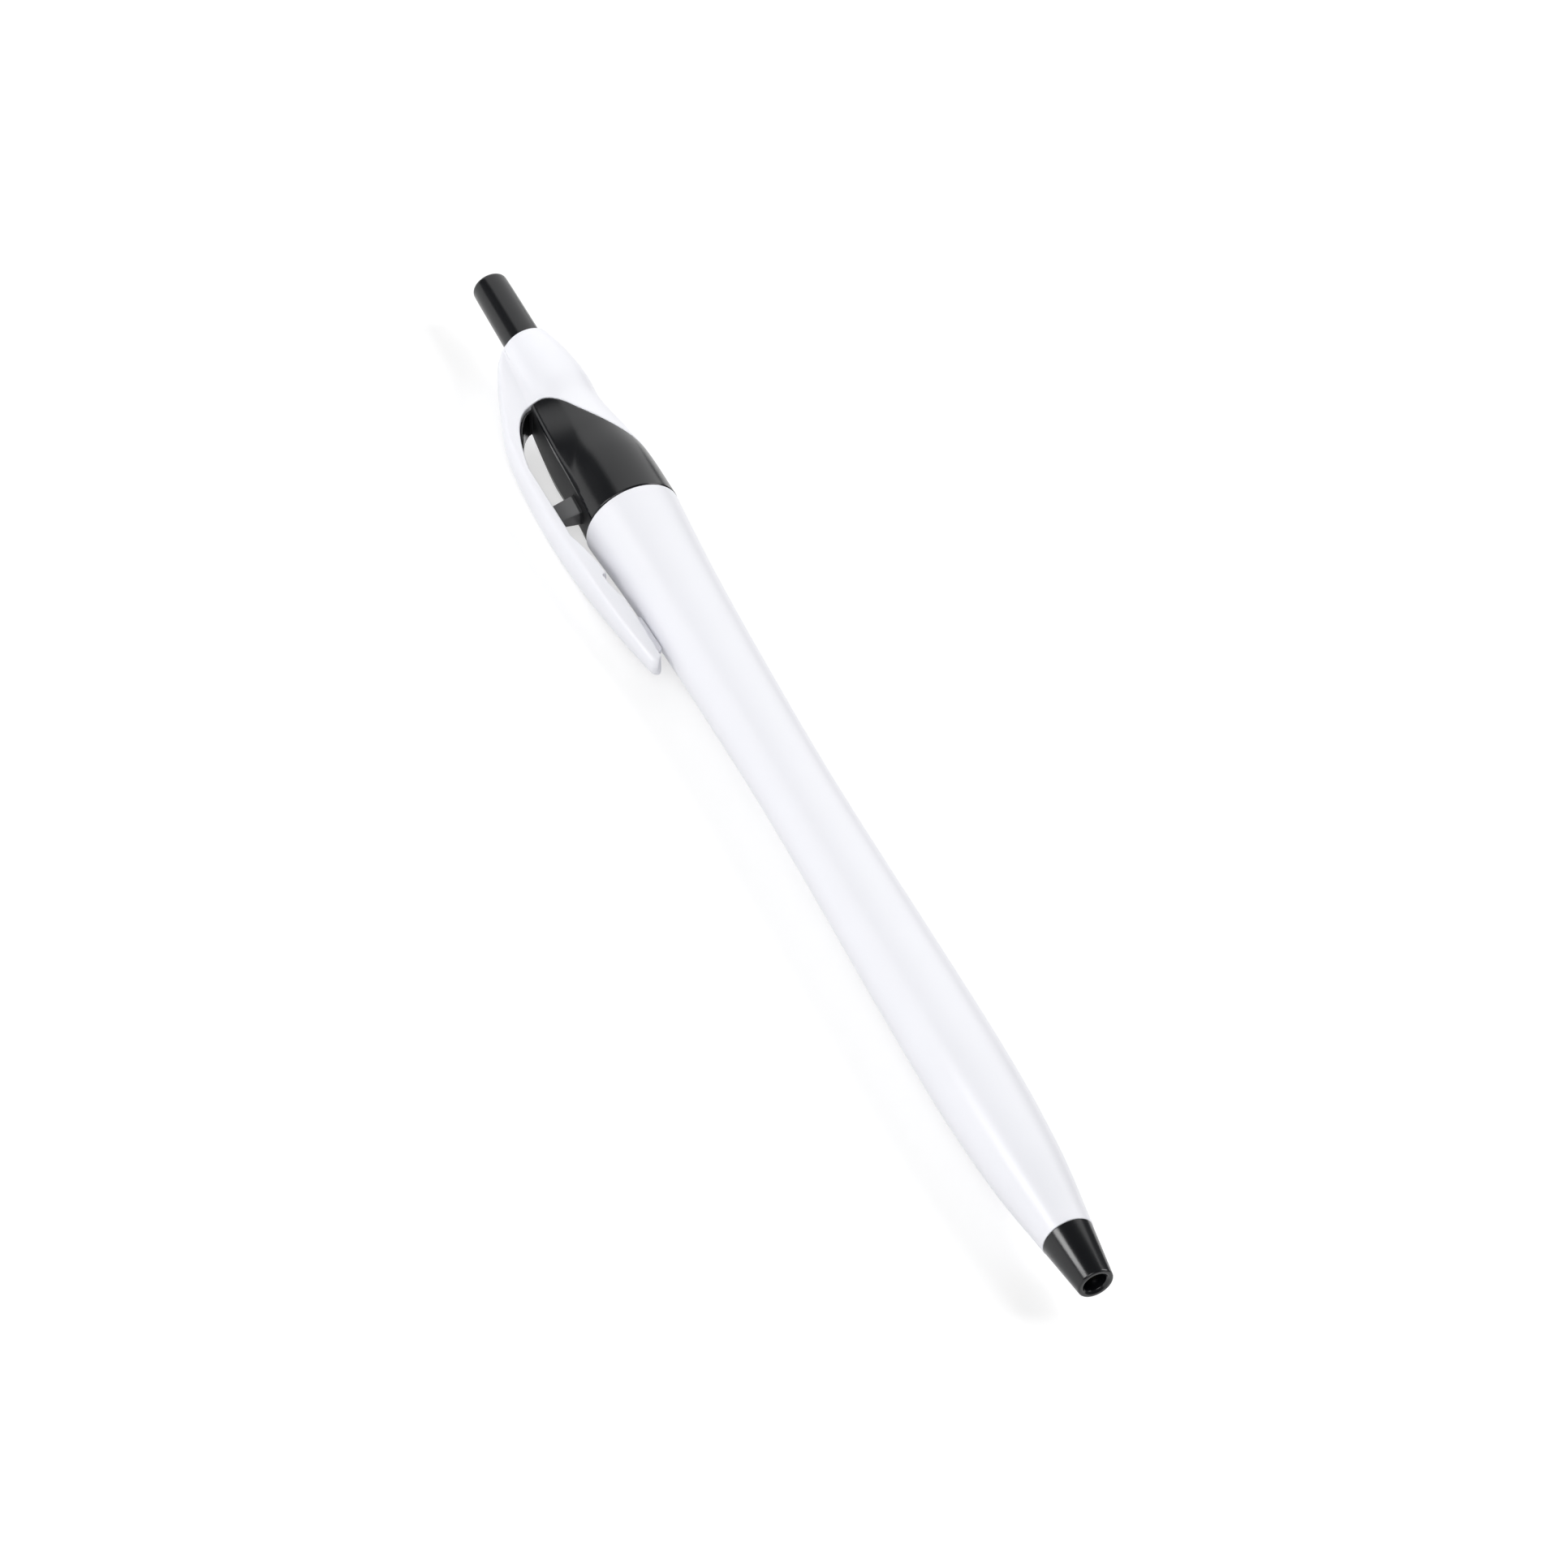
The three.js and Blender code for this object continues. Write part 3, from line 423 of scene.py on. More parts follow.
def turning_tree():
    """Turns a profile of points (x, 0, radius) about the pen's axis, as on a lathe."""
    tree, given, output = new_tree(
        "turned_piece", [("Sides", "NodeSocketInt"), ("Finish", "NodeSocketMaterial")]
    )
    nodes, links = tree.nodes, tree.links
    count = nodes.new("GeometryNodeAttributeDomainSize")
    count.component = "MESH"
    links.new(given.outputs["Geometry"], count.inputs["Geometry"])
    grid = nodes.new("GeometryNodeMeshGrid")
    grid.inputs["Size X"].default_value = 1.0
    grid.inputs["Size Y"].default_value = 1.0
    links.new(math_node(tree, "ADD", given.outputs["Sides"], 1.0), grid.inputs["Vertices X"])
    links.new(count.outputs["Point Count"], grid.inputs["Vertices Y"])
    place = nodes.new("GeometryNodeInputPosition")
    split = nodes.new("ShaderNodeSeparateXYZ")
    links.new(place.outputs["Position"], split.inputs["Vector"])
    angle = math_node(tree, "MULTIPLY", math_node(tree, "ADD", split.outputs["X"], 0.5), 2 * math.pi)
    last = math_node(tree, "SUBTRACT", count.outputs["Point Count"], 1.0)
    share = math_node(tree, "ADD", split.outputs["Y"], 0.5)
    row = math_node(tree, "ROUND", math_node(tree, "MULTIPLY", share, last))
    sample = nodes.new("GeometryNodeSampleIndex")
    sample.data_type = "FLOAT_VECTOR"
    sample.domain = "POINT"
    links.new(given.outputs["Geometry"], sample.inputs["Geometry"])
    links.new(place.outputs["Position"], sample.inputs["Value"])
    links.new(row, sample.inputs["Index"])
    profile = nodes.new("ShaderNodeSeparateXYZ")
    links.new(sample.outputs["Value"], profile.inputs["Vector"])
    turned = nodes.new("ShaderNodeCombineXYZ")
    links.new(profile.outputs["X"], turned.inputs["X"])
    for way, name in (("SINE", "Y"), ("COSINE", "Z")):
        side = math_node(tree, "MULTIPLY", profile.outputs["Z"], math_node(tree, way, angle))
        links.new(side, turned.inputs[name])
    move = nodes.new("GeometryNodeSetPosition")
    links.new(grid.outputs["Mesh"], move.inputs["Geometry"])
    links.new(turned.outputs["Vector"], move.inputs["Position"])
    weld = nodes.new("GeometryNodeMergeByDistance")
    weld.inputs["Distance"].default_value = 0.0005
    links.new(move.outputs["Geometry"], weld.inputs["Geometry"])
    close_tree(tree, weld.outputs["Geometry"], given, output)
    return tree


def winding_tree():
    """Winds a wire along the pen's axis, with its end coils closed up."""
    tree, given, output = new_tree(
        "wound_wire",
        [
            ("Coils", "NodeSocketFloat"),
            ("Coil radius", "NodeSocketFloat"),
            ("Wire radius", "NodeSocketFloat"),
            ("From", "NodeSocketFloat"),
            ("Length", "NodeSocketFloat"),
            ("Finish", "NodeSocketMaterial"),
        ],
    )
    nodes, links = tree.nodes, tree.links
    line = nodes.new("GeometryNodeCurvePrimitiveLine")
    points = nodes.new("GeometryNodeResampleCurve")
    points.inputs["Count"].default_value = WIRE_POINTS
    links.new(line.outputs["Curve"], points.inputs["Curve"])
    along = nodes.new("GeometryNodeSplineParameter")
    once_round = math_node(tree, "MULTIPLY", along.outputs["Factor"], 2 * math.pi)
    angle = math_node(tree, "MULTIPLY", once_round, given.outputs["Coils"])
    ease = math_node(tree, "MULTIPLY", math_node(tree, "SINE", once_round), -END_COILS_CLOSED)
    share = math_node(tree, "ADD", along.outputs["Factor"], ease)
    x = math_node(tree, "MULTIPLY_ADD", share, given.outputs["Length"], given.outputs["From"])
    place = nodes.new("ShaderNodeCombineXYZ")
    links.new(x, place.inputs["X"])
    for way, name in (("SINE", "Y"), ("COSINE", "Z")):
        side = math_node(tree, "MULTIPLY", given.outputs["Coil radius"], math_node(tree, way, angle))
        links.new(side, place.inputs[name])
    wind = nodes.new("GeometryNodeSetPosition")
    links.new(points.outputs["Curve"], wind.inputs["Geometry"])
    links.new(place.outputs["Vector"], wind.inputs["Position"])
    section = nodes.new("GeometryNodeCurvePrimitiveCircle")
    section.inputs["Resolution"].default_value = WIRE_SIDES
    links.new(given.outputs["Wire radius"], section.inputs["Radius"])
    sweep = nodes.new("GeometryNodeCurveToMesh")
    sweep.inputs["Fill Caps"].default_value = True
    links.new(wind.outputs["Geometry"], sweep.inputs["Curve"])
    links.new(section.outputs["Curve"], sweep.inputs["Profile Curve"])
    close_tree(tree, sweep.outputs["Mesh"], given, output)
    return tree


lathe = turning_tree()
winder = winding_tree()


def set_input(modifier, label, value):
    """Sets a modifier's input by the identifier of the socket with that label."""
    for item in modifier.node_group.interface.items_tree:
        if item.item_type == "SOCKET" and item.in_out == "INPUT" and item.name == label:
            modifier[item.identifier] = value


def made_by(tree, name, source, values):
    """A plain mesh made by a tree from a source mesh, in the pen's own frame, in millimetres."""
    start = bpy.data.objects.new(name + "_source", source)
    bpy.context.scene.collection.objects.link(start)
    modifier = start.modifiers.new("tree", "NODES")
    modifier.node_group = tree
    for label, value in values.items():
        set_input(modifier, label, value)
    graph = bpy.context.evaluated_depsgraph_get()
    mesh = bpy.data.meshes.new_from_object(start.evaluated_get(graph))
    start.modifiers.remove(modifier)
    bpy.data.objects.remove(start)
    return mesh


def facing_out(mesh):
    """Turns the faces of a closed mesh outwards."""
    work = bmesh.new()
    work.from_mesh(mesh)
    bmesh.ops.recalc_face_normals(work, faces=work.faces)
    work.to_mesh(mesh)
    work.free()


def placed(mesh, name, body, nodes):
    """The finished piece: its mesh laid down on the table, riding on its body."""
    corners = np.empty(len(mesh.vertices) * 3, np.float32)
    mesh.vertices.foreach_get("co", corners)
    laid = laid_down(corners.reshape(-1, 3).astype(float))
    mesh.vertices.foreach_set("co", laid.astype(np.float32).ravel())
    mesh.update()
    piece = bpy.data.objects.new(name, mesh)
    bpy.context.scene.collection.objects.link(piece)
    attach(piece, body)
    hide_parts(*nodes)
    return piece


def rounded(corners, closed):
    """A profile of (x, radius, rounding) corners, with an arc at each corner that has a rounding."""
    made = []
    for i, (x, r, size) in enumerate(corners):
        here = np.array([x, r])
        if size == 0:
            made.append(here)
            continue
        before = np.array(corners[i - 1][:2]) - here
        after = np.array(corners[(i + 1) % len(corners)][:2]) - here
        a, b = here + before / np.linalg.norm(before) * size, here + after / np.linalg.norm(after) * size
        for t in np.linspace(0, 1, ARC_POINTS):
            made.append((1 - t) ** 2 * a + 2 * t * (1 - t) * here + t**2 * b)
    if closed:
        made.append(made[0])
    return made


def turned_piece(name, body, nodes, corners, finish, closed, sides=LATHE_SIDES):
    """A piece turned from a profile of (x, radius, rounding) corners."""
    profile = rounded(corners, closed)
    source = bpy.data.meshes.new(name)
    places = [(x, 0.0, r) for x, r in profile]
    source.from_pydata(places, [(i, i + 1) for i in range(len(places) - 1)], [])
    mesh = made_by(lathe, name, source, {"Sides": sides, "Finish": finish})
    facing_out(mesh)
    return placed(mesh, name, body, nodes)


# Turned pieces


def smooth_corners(radius_at, start, end, step):
    """Corners without rounding along a smooth outside."""
    count = math.ceil((end - start) / step)
    return [(x, float(radius_at(x)), 0) for x in np.linspace(start, end, count + 1)]


socket_radius = SPIGOT_RADIUS + FIT
socket_end = SPIGOT_TO + 0.5
turned_piece(
    "barrel_shell", "pen_body", ["barrel"],
    [
        (MOUTH, socket_radius, 0.08),
        (MOUTH, float(barrel_radius(MOUTH)), 0.12),
        *smooth_corners(barrel_radius, MOUTH + 0.5, TIP_JOINT - 0.4, 0.6),
        (TIP_JOINT, float(barrel_radius(TIP_JOINT)), 0.1),
        (TIP_JOINT, TIP_BORE, 0.05),
        (BARREL_END - TIP_DEPTH - 0.5, TIP_BORE, 0),
        (BARREL_END - TIP_DEPTH - 1.5, 2.45, 0),
        (socket_end + 2.8, 3.0, 0),
        (socket_end, socket_radius, 0),
    ],
    white_plastic, closed=True, sides=128,
)
turned_piece(
    "nose_tip", "pen_body", ["nose_cone"],
    [
        (BARREL_END - TIP_DEPTH, 1.61, 0),
        (BARREL_END - TIP_DEPTH, TIP_PRESS_RADIUS, 0.08),
        (TIP_JOINT, TIP_PRESS_RADIUS, 0),
        (TIP_JOINT, 2.65, 0.09),
        (NOSE_END, 1.84, 0.2),
        (NOSE_END, 1.44, 0.08),
        (NOSE_END - 0.26, 1.18, 0.06),
        (NOSE_END - 3.4, 1.15, 0),
        (NOSE_END - 4.7, 1.61, 0),
    ],
    black_plastic, closed=True,
)
turned_piece(
    "button_stem", "button", ["push_button"],
    [
        (0, 0, 0),
        (0, BUTTON_FLAT * 0.5, 0),
        (0, BUTTON_FLAT, 0.2),
        (BUTTON_CROWN, BUTTON_TIP_RADIUS - 0.02, 0.42),
        (2.0, BUTTON_TIP_RADIUS + 0.02, 0),
        (RIM, BUTTON_RADIUS, 0),
        (BUTTON_END, BUTTON_RADIUS, 0.05),
        (BUTTON_END, BUTTON_HOLLOW_RADIUS, 0),
        (BUTTON_HOLLOW_FROM, BUTTON_HOLLOW_RADIUS, 0),
        (BUTTON_HOLLOW_FROM, 0, 0),
    ],
    black_plastic, closed=False,
)

# Cap, clip and collar as fields
# A field is below zero inside the piece. Its skin is meshed and drawn onto the exact surface.

FAR_OUTSIDE = 9.0
ABOVE_CLIP = 9.5
BELOW_PEN = -6.12


def both(a, b, rounding):
    """Inside both fields, with a rounded edge."""
    corner = np.hypot(np.maximum(a + rounding, 0), np.maximum(b + rounding, 0))
    return np.minimum(np.maximum(a, b), -rounding) + corner


def either(a, b, fillet):
    """Inside either field, with a fillet in the corner between them."""
    corner = np.hypot(np.minimum(a - fillet, 0), np.minimum(b - fillet, 0))
    return np.maximum(np.minimum(a, b), fillet) - corner


def bezier(points, steps):
    """Points of a Bezier curve after its first one."""
    made = []
    for t in np.linspace(0, 1, steps + 1)[1:]:
        level = [np.array(p, float) for p in points]
        while len(level) > 1:
            level = [a + (b - a) * t for a, b in zip(level, level[1:])]
        made.append(level[0])
    return made


def outline_field(outline):
    """The signed distance to a closed outline in the side view, below zero inside it."""
    points = np.array(outline, float)
    points = points[np.linalg.norm(points - np.roll(points, 1, 0), axis=1) > 1e-6]
    ends = np.roll(points, -1, 0)

    def value(x, z):
        nearest, inside = np.inf, False
        for (ax, az), (bx, bz) in zip(points, ends):
            dx, dz = bx - ax, bz - az
            t = np.clip(((x - ax) * dx + (z - az) * dz) / (dx * dx + dz * dz), 0, 1)
            far = np.hypot(x - ax - t * dx, z - az - t * dz)
            nearest = np.minimum(nearest, far)
            if dz != 0:
                crosses = ((az > z) != (bz > z)) & (x < dx * (z - az) / dz + ax)
                inside = inside ^ crosses
        return np.where(inside, -nearest, nearest)

    return value


def seam_points(shift):
    """The seam between cap and collar in the side view, from its top down to the far side."""
    x, tail = WINDOW + shift, SEAM_TAIL + shift
    corner = x + 2.45
    middle = (corner + tail) / 2
    return [
        np.array((x, 2.9)),
        *bezier([(x, 2.9), (x, 1.7), (corner, 0.5)], 12),
        *bezier([(corner, 0.5), (middle, -1.2), (tail, -4.6)], 24),
        np.array((tail + 0.16, BELOW_PEN)),
    ]


def root_points(shift, steps):
    """The curve on which the clip's root rises from the flat to its underside."""
    low, x = float(flat_height(WINDOW)), WINDOW + shift
    rise = UNDER_CLIP - low
    near_flat, near_clip = (x + 0.38, low + rise * 0.52), (x + 3.19, low + rise * 0.82)
    return [np.array((x, low)), *bezier([(x, low), near_flat, near_clip, (x + 7.6, UNDER_CLIP)], steps)]


def underside_points():
    """The clip's underside: straight, ramp to the catch, foot along the barrel, lifted end."""
    high = UNDER_CLIP - 0.15
    ramp, sole = CLIP_END - 18.2, (FOOT + LIFT) / 2
    over = [float(barrel_radius(x)) + 0.95 for x in (FOOT, sole, LIFT, CLIP_END)]
    at_foot, at_sole, at_lift, at_end = over
    return [
        np.array((ramp, high)),
        *bezier([(ramp, high), (CATCH - 2.85, high - 0.9), (CATCH, high - 1.21)], 16),
        np.array((CATCH, high - 0.76)),
        *bezier([(CATCH, high - 0.76), (FOOT - 1.15, UNDER_CLIP - 1.21), (FOOT, at_foot)], 12),
        *bezier([(FOOT, at_foot), (sole, at_sole - 0.08), (LIFT, at_lift)], 16),
        np.array((CLIP_END + 0.14, at_end + 0.75)),
    ]


behind_cap = outline_field(
    [
        *seam_points(0)[::-1],
        *root_points(0, 24),
        *underside_points(),
        np.array((CLIP_END + 3, 6.6)),
        np.array((CLIP_END + 3, BELOW_PEN)),
    ]
)
behind_seam = outline_field(
    [
        *seam_points(FIT)[::-1],
        (WINDOW + FIT, ABOVE_CLIP),
        (COLLAR_END + 3, ABOVE_CLIP),
        (COLLAR_END + 3, BELOW_PEN),
    ]
)


def body_field(x, y, z):
    """The outside of cap and collar: round, with a flat on the clip's side."""
    radius, height = body_radius(x), flat_height(x)
    chord = np.sqrt(np.maximum(radius**2 - height**2, 0))
    edge = np.maximum(flat_half_width(x), chord)
    tangent = np.arctan2(edge, height) + np.arccos(np.minimum(1, radius / np.hypot(edge, height)))
    side = np.abs(y)
    out = np.hypot(side, z)
    slanted = np.sin(tangent) * side + np.cos(tangent) * z - radius
    return np.where(np.arctan2(side, z) < tangent, both(z - height, slanted, 0.35), out - radius)


def clip_field(x, y, z):
    """The clip's blank: flat sides and a crowned back, rounded where they meet and more at the tip."""
    half, crown = clip_half_width(x), CLIP_CROWN * clip_half_width(x) / CLIP_HALF_WIDTH
    share = np.minimum(np.abs(y) / half, 1)
    roundness = 1 - np.sqrt(1 - CLIP_FULLNESS * share**2)
    drop = crown * roundness / (1 - math.sqrt(1 - CLIP_FULLNESS))
    back = z - (clip_top(x) - drop)
    plan = both(np.abs(y) - half, x - CLIP_END, 0.8)
    edge = 0.3 + 0.35 * np.clip((x - CLIP_END + CLIP_TIP_LENGTH) / CLIP_TIP_LENGTH, 0, 1)
    return np.maximum(both(back, plan, edge), flat_height(x) - 0.36 - z)


pad_top = float(barrel_radius(PAD_SOLE_FROM)) + PAD_HEIGHT
pad_field = outline_field(
    [
        (PAD_FROM, pad_top),
        *[(x, float(barrel_radius(x)) + PAD_GAP) for x in np.linspace(PAD_SOLE_FROM, PAD_SOLE_TO, 10)],
        (PAD_TO, pad_top),
    ]
)


def cap_field(x, y, z):
    """Cap and clip in one piece, with the seam's edge, the pad at the foot, the bore and its ribs."""
    out = np.hypot(y, z)
    whole = either(body_field(x, y, z), clip_field(x, y, z), 0.5)
    whole = both(whole, RIM_START - x, 0.32)
    whole = both(whole, -behind_cap(x, z), 0.13)
    pad = both(np.abs(y) - PAD_HALF_WIDTH, pad_field(x, z), 0.12)
    whole = np.minimum(whole, np.where(x > PAD_FROM - 1.15, pad, FAR_OUTSIDE))
    throat = np.maximum(out - RIM_BORE, x - CAM_FROM)
    cam = np.maximum(out - CAM_BORE, np.maximum(CAM_FROM - x, x - SLEEVE_FROM))
    sleeve = np.maximum(out - SLEEVE_RADIUS - FIT, SLEEVE_FROM - FIT - x)
    angle = np.mod(np.degrees(np.arctan2(y, z)), 90) - 45
    slope = TOOTH * np.clip(angle / RIB_ARC + 0.5, 0, 1)
    beside_rib = (np.abs(angle) - RIB_ARC / 2) * out * math.pi / 180
    rib = np.maximum(beside_rib, x - CAM_FROM - RIB_LENGTH - slope)
    cam = np.maximum(cam, -np.maximum(rib, RIM_BORE - out))
    bore = np.minimum(np.minimum(throat, cam), sleeve)
    return both(whole, -bore, 0.08)


def lining_field():
    """The thin lip that rises from the flat and lines the round end of the window."""
    upper = np.array(root_points(FIT, 30)[:20]) - (0, FIT)
    way = np.gradient(upper, axis=0)
    way /= np.linalg.norm(way, axis=1)[:, None]
    thick = np.linspace(0.32, 0.24, len(upper))[:, None]
    lower = upper + np.stack([way[:, 1], -way[:, 0]], axis=1) * thick
    base = float(flat_height(WINDOW)) - ROOT_DEPTH
    return outline_field([(WINDOW + FIT, base), *upper, *lower[::-1], (WINDOW + 0.6, base)])


lining = lining_field()
stud_end = STUD + STUD_LENGTH
stud_top = UNDER_CLIP - 0.2
stud_side = outline_field(
    [
        (STUD, float(flat_height(STUD)) - ROOT_DEPTH),
        (STUD + STUD_DRAFT, stud_top),
        (stud_end - STUD_DRAFT, stud_top),
        (stud_end, float(flat_height(stud_end)) - ROOT_DEPTH),
    ]
)


def collar_field(x, y, z):
    """The collar: its outside behind the seam, lip and stud, sleeve and spigot, and the bore."""
    out = np.hypot(y, z)
    outside = both(body_field(x, y, z), behind_seam(x, z), 0.1)
    outside = both(outside, x - MOUTH, 0.2)
    lip = both(lining(x, z), np.abs(y) - LIP_HALF_WIDTH, 0.05)
    outside = np.minimum(outside, np.where((x < WINDOW + 9) & (z > 3), lip, FAR_OUTSIDE))
    stud = both(stud_side(x, z), np.abs(y) - STUD_HALF_WIDTH - 0.2 * (UNDER_CLIP - z), 0.1)
    outside = np.minimum(outside, np.where(z > 3, stud, FAR_OUTSIDE))
    sleeve = np.maximum(out - SLEEVE_RADIUS, np.maximum(SLEEVE_FROM - x, x - SLEEVE_TO))
    spigot = np.maximum(out - SPIGOT_RADIUS, np.maximum(COLLAR_END - 1 - x, x - SPIGOT_TO))
    whole = np.minimum(np.minimum(outside, sleeve), spigot)
    return np.maximum(whole, CAM_BORE + FIT - out)


CORNERS = np.array([(i, j, k) for i in (0, 1) for j in (0, 1) for k in (0, 1)])
EDGES = [(a, b) for a in range(8) for b in range(a + 1, 8) if abs(CORNERS[a] - CORNERS[b]).sum() == 1]
GRID_STEP = 0.125
SLAB = 24
SLOPE_STEP = 0.01
LONGEST_MOVE = 0.1
SMOOTHINGS = 2


def sampled(field, lows, highs):
    """The field on a grid, worked out in slabs along the pen."""
    lines = [np.arange(low, high + GRID_STEP, GRID_STEP) for low, high in zip(lows, highs)]
    x, y, z = lines[0][:, None, None], lines[1][None, :, None], lines[2][None, None, :]
    slabs = [field(x[i : i + SLAB], y, z).astype(np.float32) for i in range(0, len(lines[0]), SLAB)]
    return np.concatenate(slabs), lines


def skin_of(values, lines):
    """Vertices and square faces of the surface where a gridded field is zero."""
    step = lines[0][1] - lines[0][0]
    start = np.array([line[0] for line in lines])
    inside = values < 0
    shape = tuple(n - 1 for n in values.shape)
    corners_inside = np.zeros(shape, np.int8)
    for i, j, k in CORNERS:
        corners_inside += inside[i : i + shape[0], j : j + shape[1], k : k + shape[2]]
    cells = np.argwhere((corners_inside > 0) & (corners_inside < 8))
    index = np.full(shape, -1, np.int64)
    index[tuple(cells.T)] = np.arange(len(cells))
    at = np.stack([values[tuple((cells + c).T)] for c in CORNERS], axis=1)
    total, crossings = np.zeros((len(cells), 3)), np.zeros(len(cells))
    for a, b in EDGES:
        cut = (at[:, a] < 0) != (at[:, b] < 0)
        share = at[:, a] / np.where(cut, at[:, a] - at[:, b], 1)
        point = CORNERS[a] + share[:, None] * (CORNERS[b] - CORNERS[a])
        total += np.where(cut[:, None], point, 0)
        crossings += cut
    vertices = start + (cells + total / crossings[:, None]) * step
    faces = []
    for axis in range(3):
        second, third = (axis + 1) % 3, (axis + 2) % 3
        u, v = np.eye(3, dtype=int)[[second, third]]
        this_side = np.take(inside, range(inside.shape[axis] - 1), axis)
        next_side = np.take(inside, range(1, inside.shape[axis]), axis)
        crossed = np.argwhere(this_side != next_side)
        crossed = crossed[(crossed[:, second] > 0) & (crossed[:, third] > 0)]
        crossed = crossed[(crossed[:, second] < shape[second]) & (crossed[:, third] < shape[third])]
        round_edge = [crossed - u - v, crossed - v, crossed, crossed - u]
        quads = np.stack([index[tuple(c.T)] for c in round_edge], axis=1)
        outward = inside[tuple(crossed.T)]
        faces.append(np.where(outward[:, None], quads, quads[:, ::-1]))
    return vertices, np.concatenate(faces)


def slopes_of(field, points):
    """The field's value and slope at points."""
    rises = []
    for way in np.eye(3):
        ahead, behind = points + SLOPE_STEP * way, points - SLOPE_STEP * way
        rises.append(field(*ahead.T) - field(*behind.T))
    return field(*points.T), np.stack(rises, axis=1) / (2 * SLOPE_STEP)


def drawn_on(points, field):
    """The points, moved along the field's slope onto its surface."""
    value, slope = slopes_of(field, points)
    steep = np.maximum((slope**2).sum(1), 0.2)
    return points - np.clip(value / steep, -LONGEST_MOVE, LONGEST_MOVE)[:, None] * slope


def settled(points, faces, field):
    """Evens out the vertices and draws them onto the field's surface."""
    for _ in range(SMOOTHINGS):
        total, count = np.zeros_like(points), np.zeros(len(points))
        for a, b in ((0, 1), (1, 2), (2, 3), (3, 0)):
            for p, q in ((a, b), (b, a)):
                np.add.at(total, faces[:, p], points[faces[:, q]])
                np.add.at(count, faces[:, p], 1)
        points = drawn_on(points * 0.5 + total / count[:, None] * 0.5, field)
    return drawn_on(points, field)


def field_piece(name, body, nodes, field, lows, highs, finish):
    """A piece skinned from its field, with the field's own slope as its normals."""
    values, lines = sampled(field, lows, highs)
    points, faces = skin_of(values, lines)
    points = settled(points, faces, field)
    mesh = bpy.data.meshes.new(name)
    mesh.from_pydata(points.tolist(), [], faces.tolist())
    mesh.materials.append(finish)
    mesh.shade_smooth()
    piece = placed(mesh, name, body, nodes)
    slope = slopes_of(field, points)[1]
    slope /= np.maximum(np.linalg.norm(slope, axis=1), 1e-6)[:, None]
    mesh.normals_split_custom_set_from_vertices(laid_ways(slope).tolist())
    return piece


field_piece(
    "cap_and_clip", "pen_body", ["clip_cap"], cap_field,
    (RIM - 0.31, -5.31, -5.71), (CLIP_END + 0.4, 5.4, 8.8), white_plastic,
)
field_piece(
    "collar_sleeve", "pen_body", ["collar"], collar_field,
    (WINDOW - 0.41, -5.41, -5.41), (SPIGOT_TO + 0.4, 5.6, 7.4), black_plastic,
)

# Inside: spring, refill, mechanism

BALL = 138.2
BALL_RADIUS = 0.5
POINT_END = BALL + 0.18
POINT_FROM = POINT_END - 12.4
SOCKET_END = POINT_FROM + 3.0
POINT_RADIUS = 1.04
NECK_RADIUS = 0.83
FLANGE_FACE = 116.18
SPRING_SEAT = BARREL_END - TIP_DEPTH
WIRE_RADIUS = 0.175
COIL_RADIUS = 1.68
COILS = 11.0

turned_piece(
    "point_tip", "refill", ["writing_point"],
    [
        (POINT_FROM, 0.45, 0),
        (POINT_FROM, NECK_RADIUS, 0.06),
        (SOCKET_END + FIT, NECK_RADIUS, 0),
        (SOCKET_END + FIT, POINT_RADIUS, 0.05),
        (POINT_END - 3.5, POINT_RADIUS, 0.12),
        (POINT_END - 0.75, 0.68, 0.05),
        (POINT_END - 0.62, 0.64, 0.03),
        (POINT_END, 0.6, 0.05),
        (POINT_END, 0.487, 0.01),
        (BALL, 0.52, 0),
        (BALL - 0.25, 0.52, 0.1),
        (BALL - 0.5, 0.22, 0),
        (POINT_FROM + 0.45, 0.22, 0),
    ],
    brass, closed=True, sides=72,
)
half_turn = np.linspace(0, math.pi, 33)
turned_piece(
    "rolling_ball", "refill", ["point_ball"],
    [(BALL - BALL_RADIUS * math.cos(t), BALL_RADIUS * math.sin(t), 0) for t in half_turn],
    steel, closed=False, sides=48,
)

coil_start = FLANGE_FACE + WIRE_RADIUS + FIT
coil_end = SPRING_SEAT - WIRE_RADIUS - FIT
wire = made_by(
    winder, "spring_wire", bpy.data.meshes.new("spring_wire"),
    {
        "Coils": COILS,
        "Coil radius": COIL_RADIUS,
        "Wire radius": WIRE_RADIUS,
        "From": coil_start,
        "Length": coil_end - coil_start,
        "Finish": steel,
    },
)
facing_out(wire)
spring = placed(wire, "spring_wire", "pen_body", ["return_spring"])
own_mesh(spring)

for name, finish in {
    "indexing_rotor": natural_plastic,
    "refill_tube": refill_plastic,
    "ink": ink_paste,
    "grease_follower": grease,
    "point_socket": refill_plastic,
}.items():
    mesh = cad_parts[name].data
    mesh.materials.clear()
    mesh.materials.append(finish)

# Table, light and camera


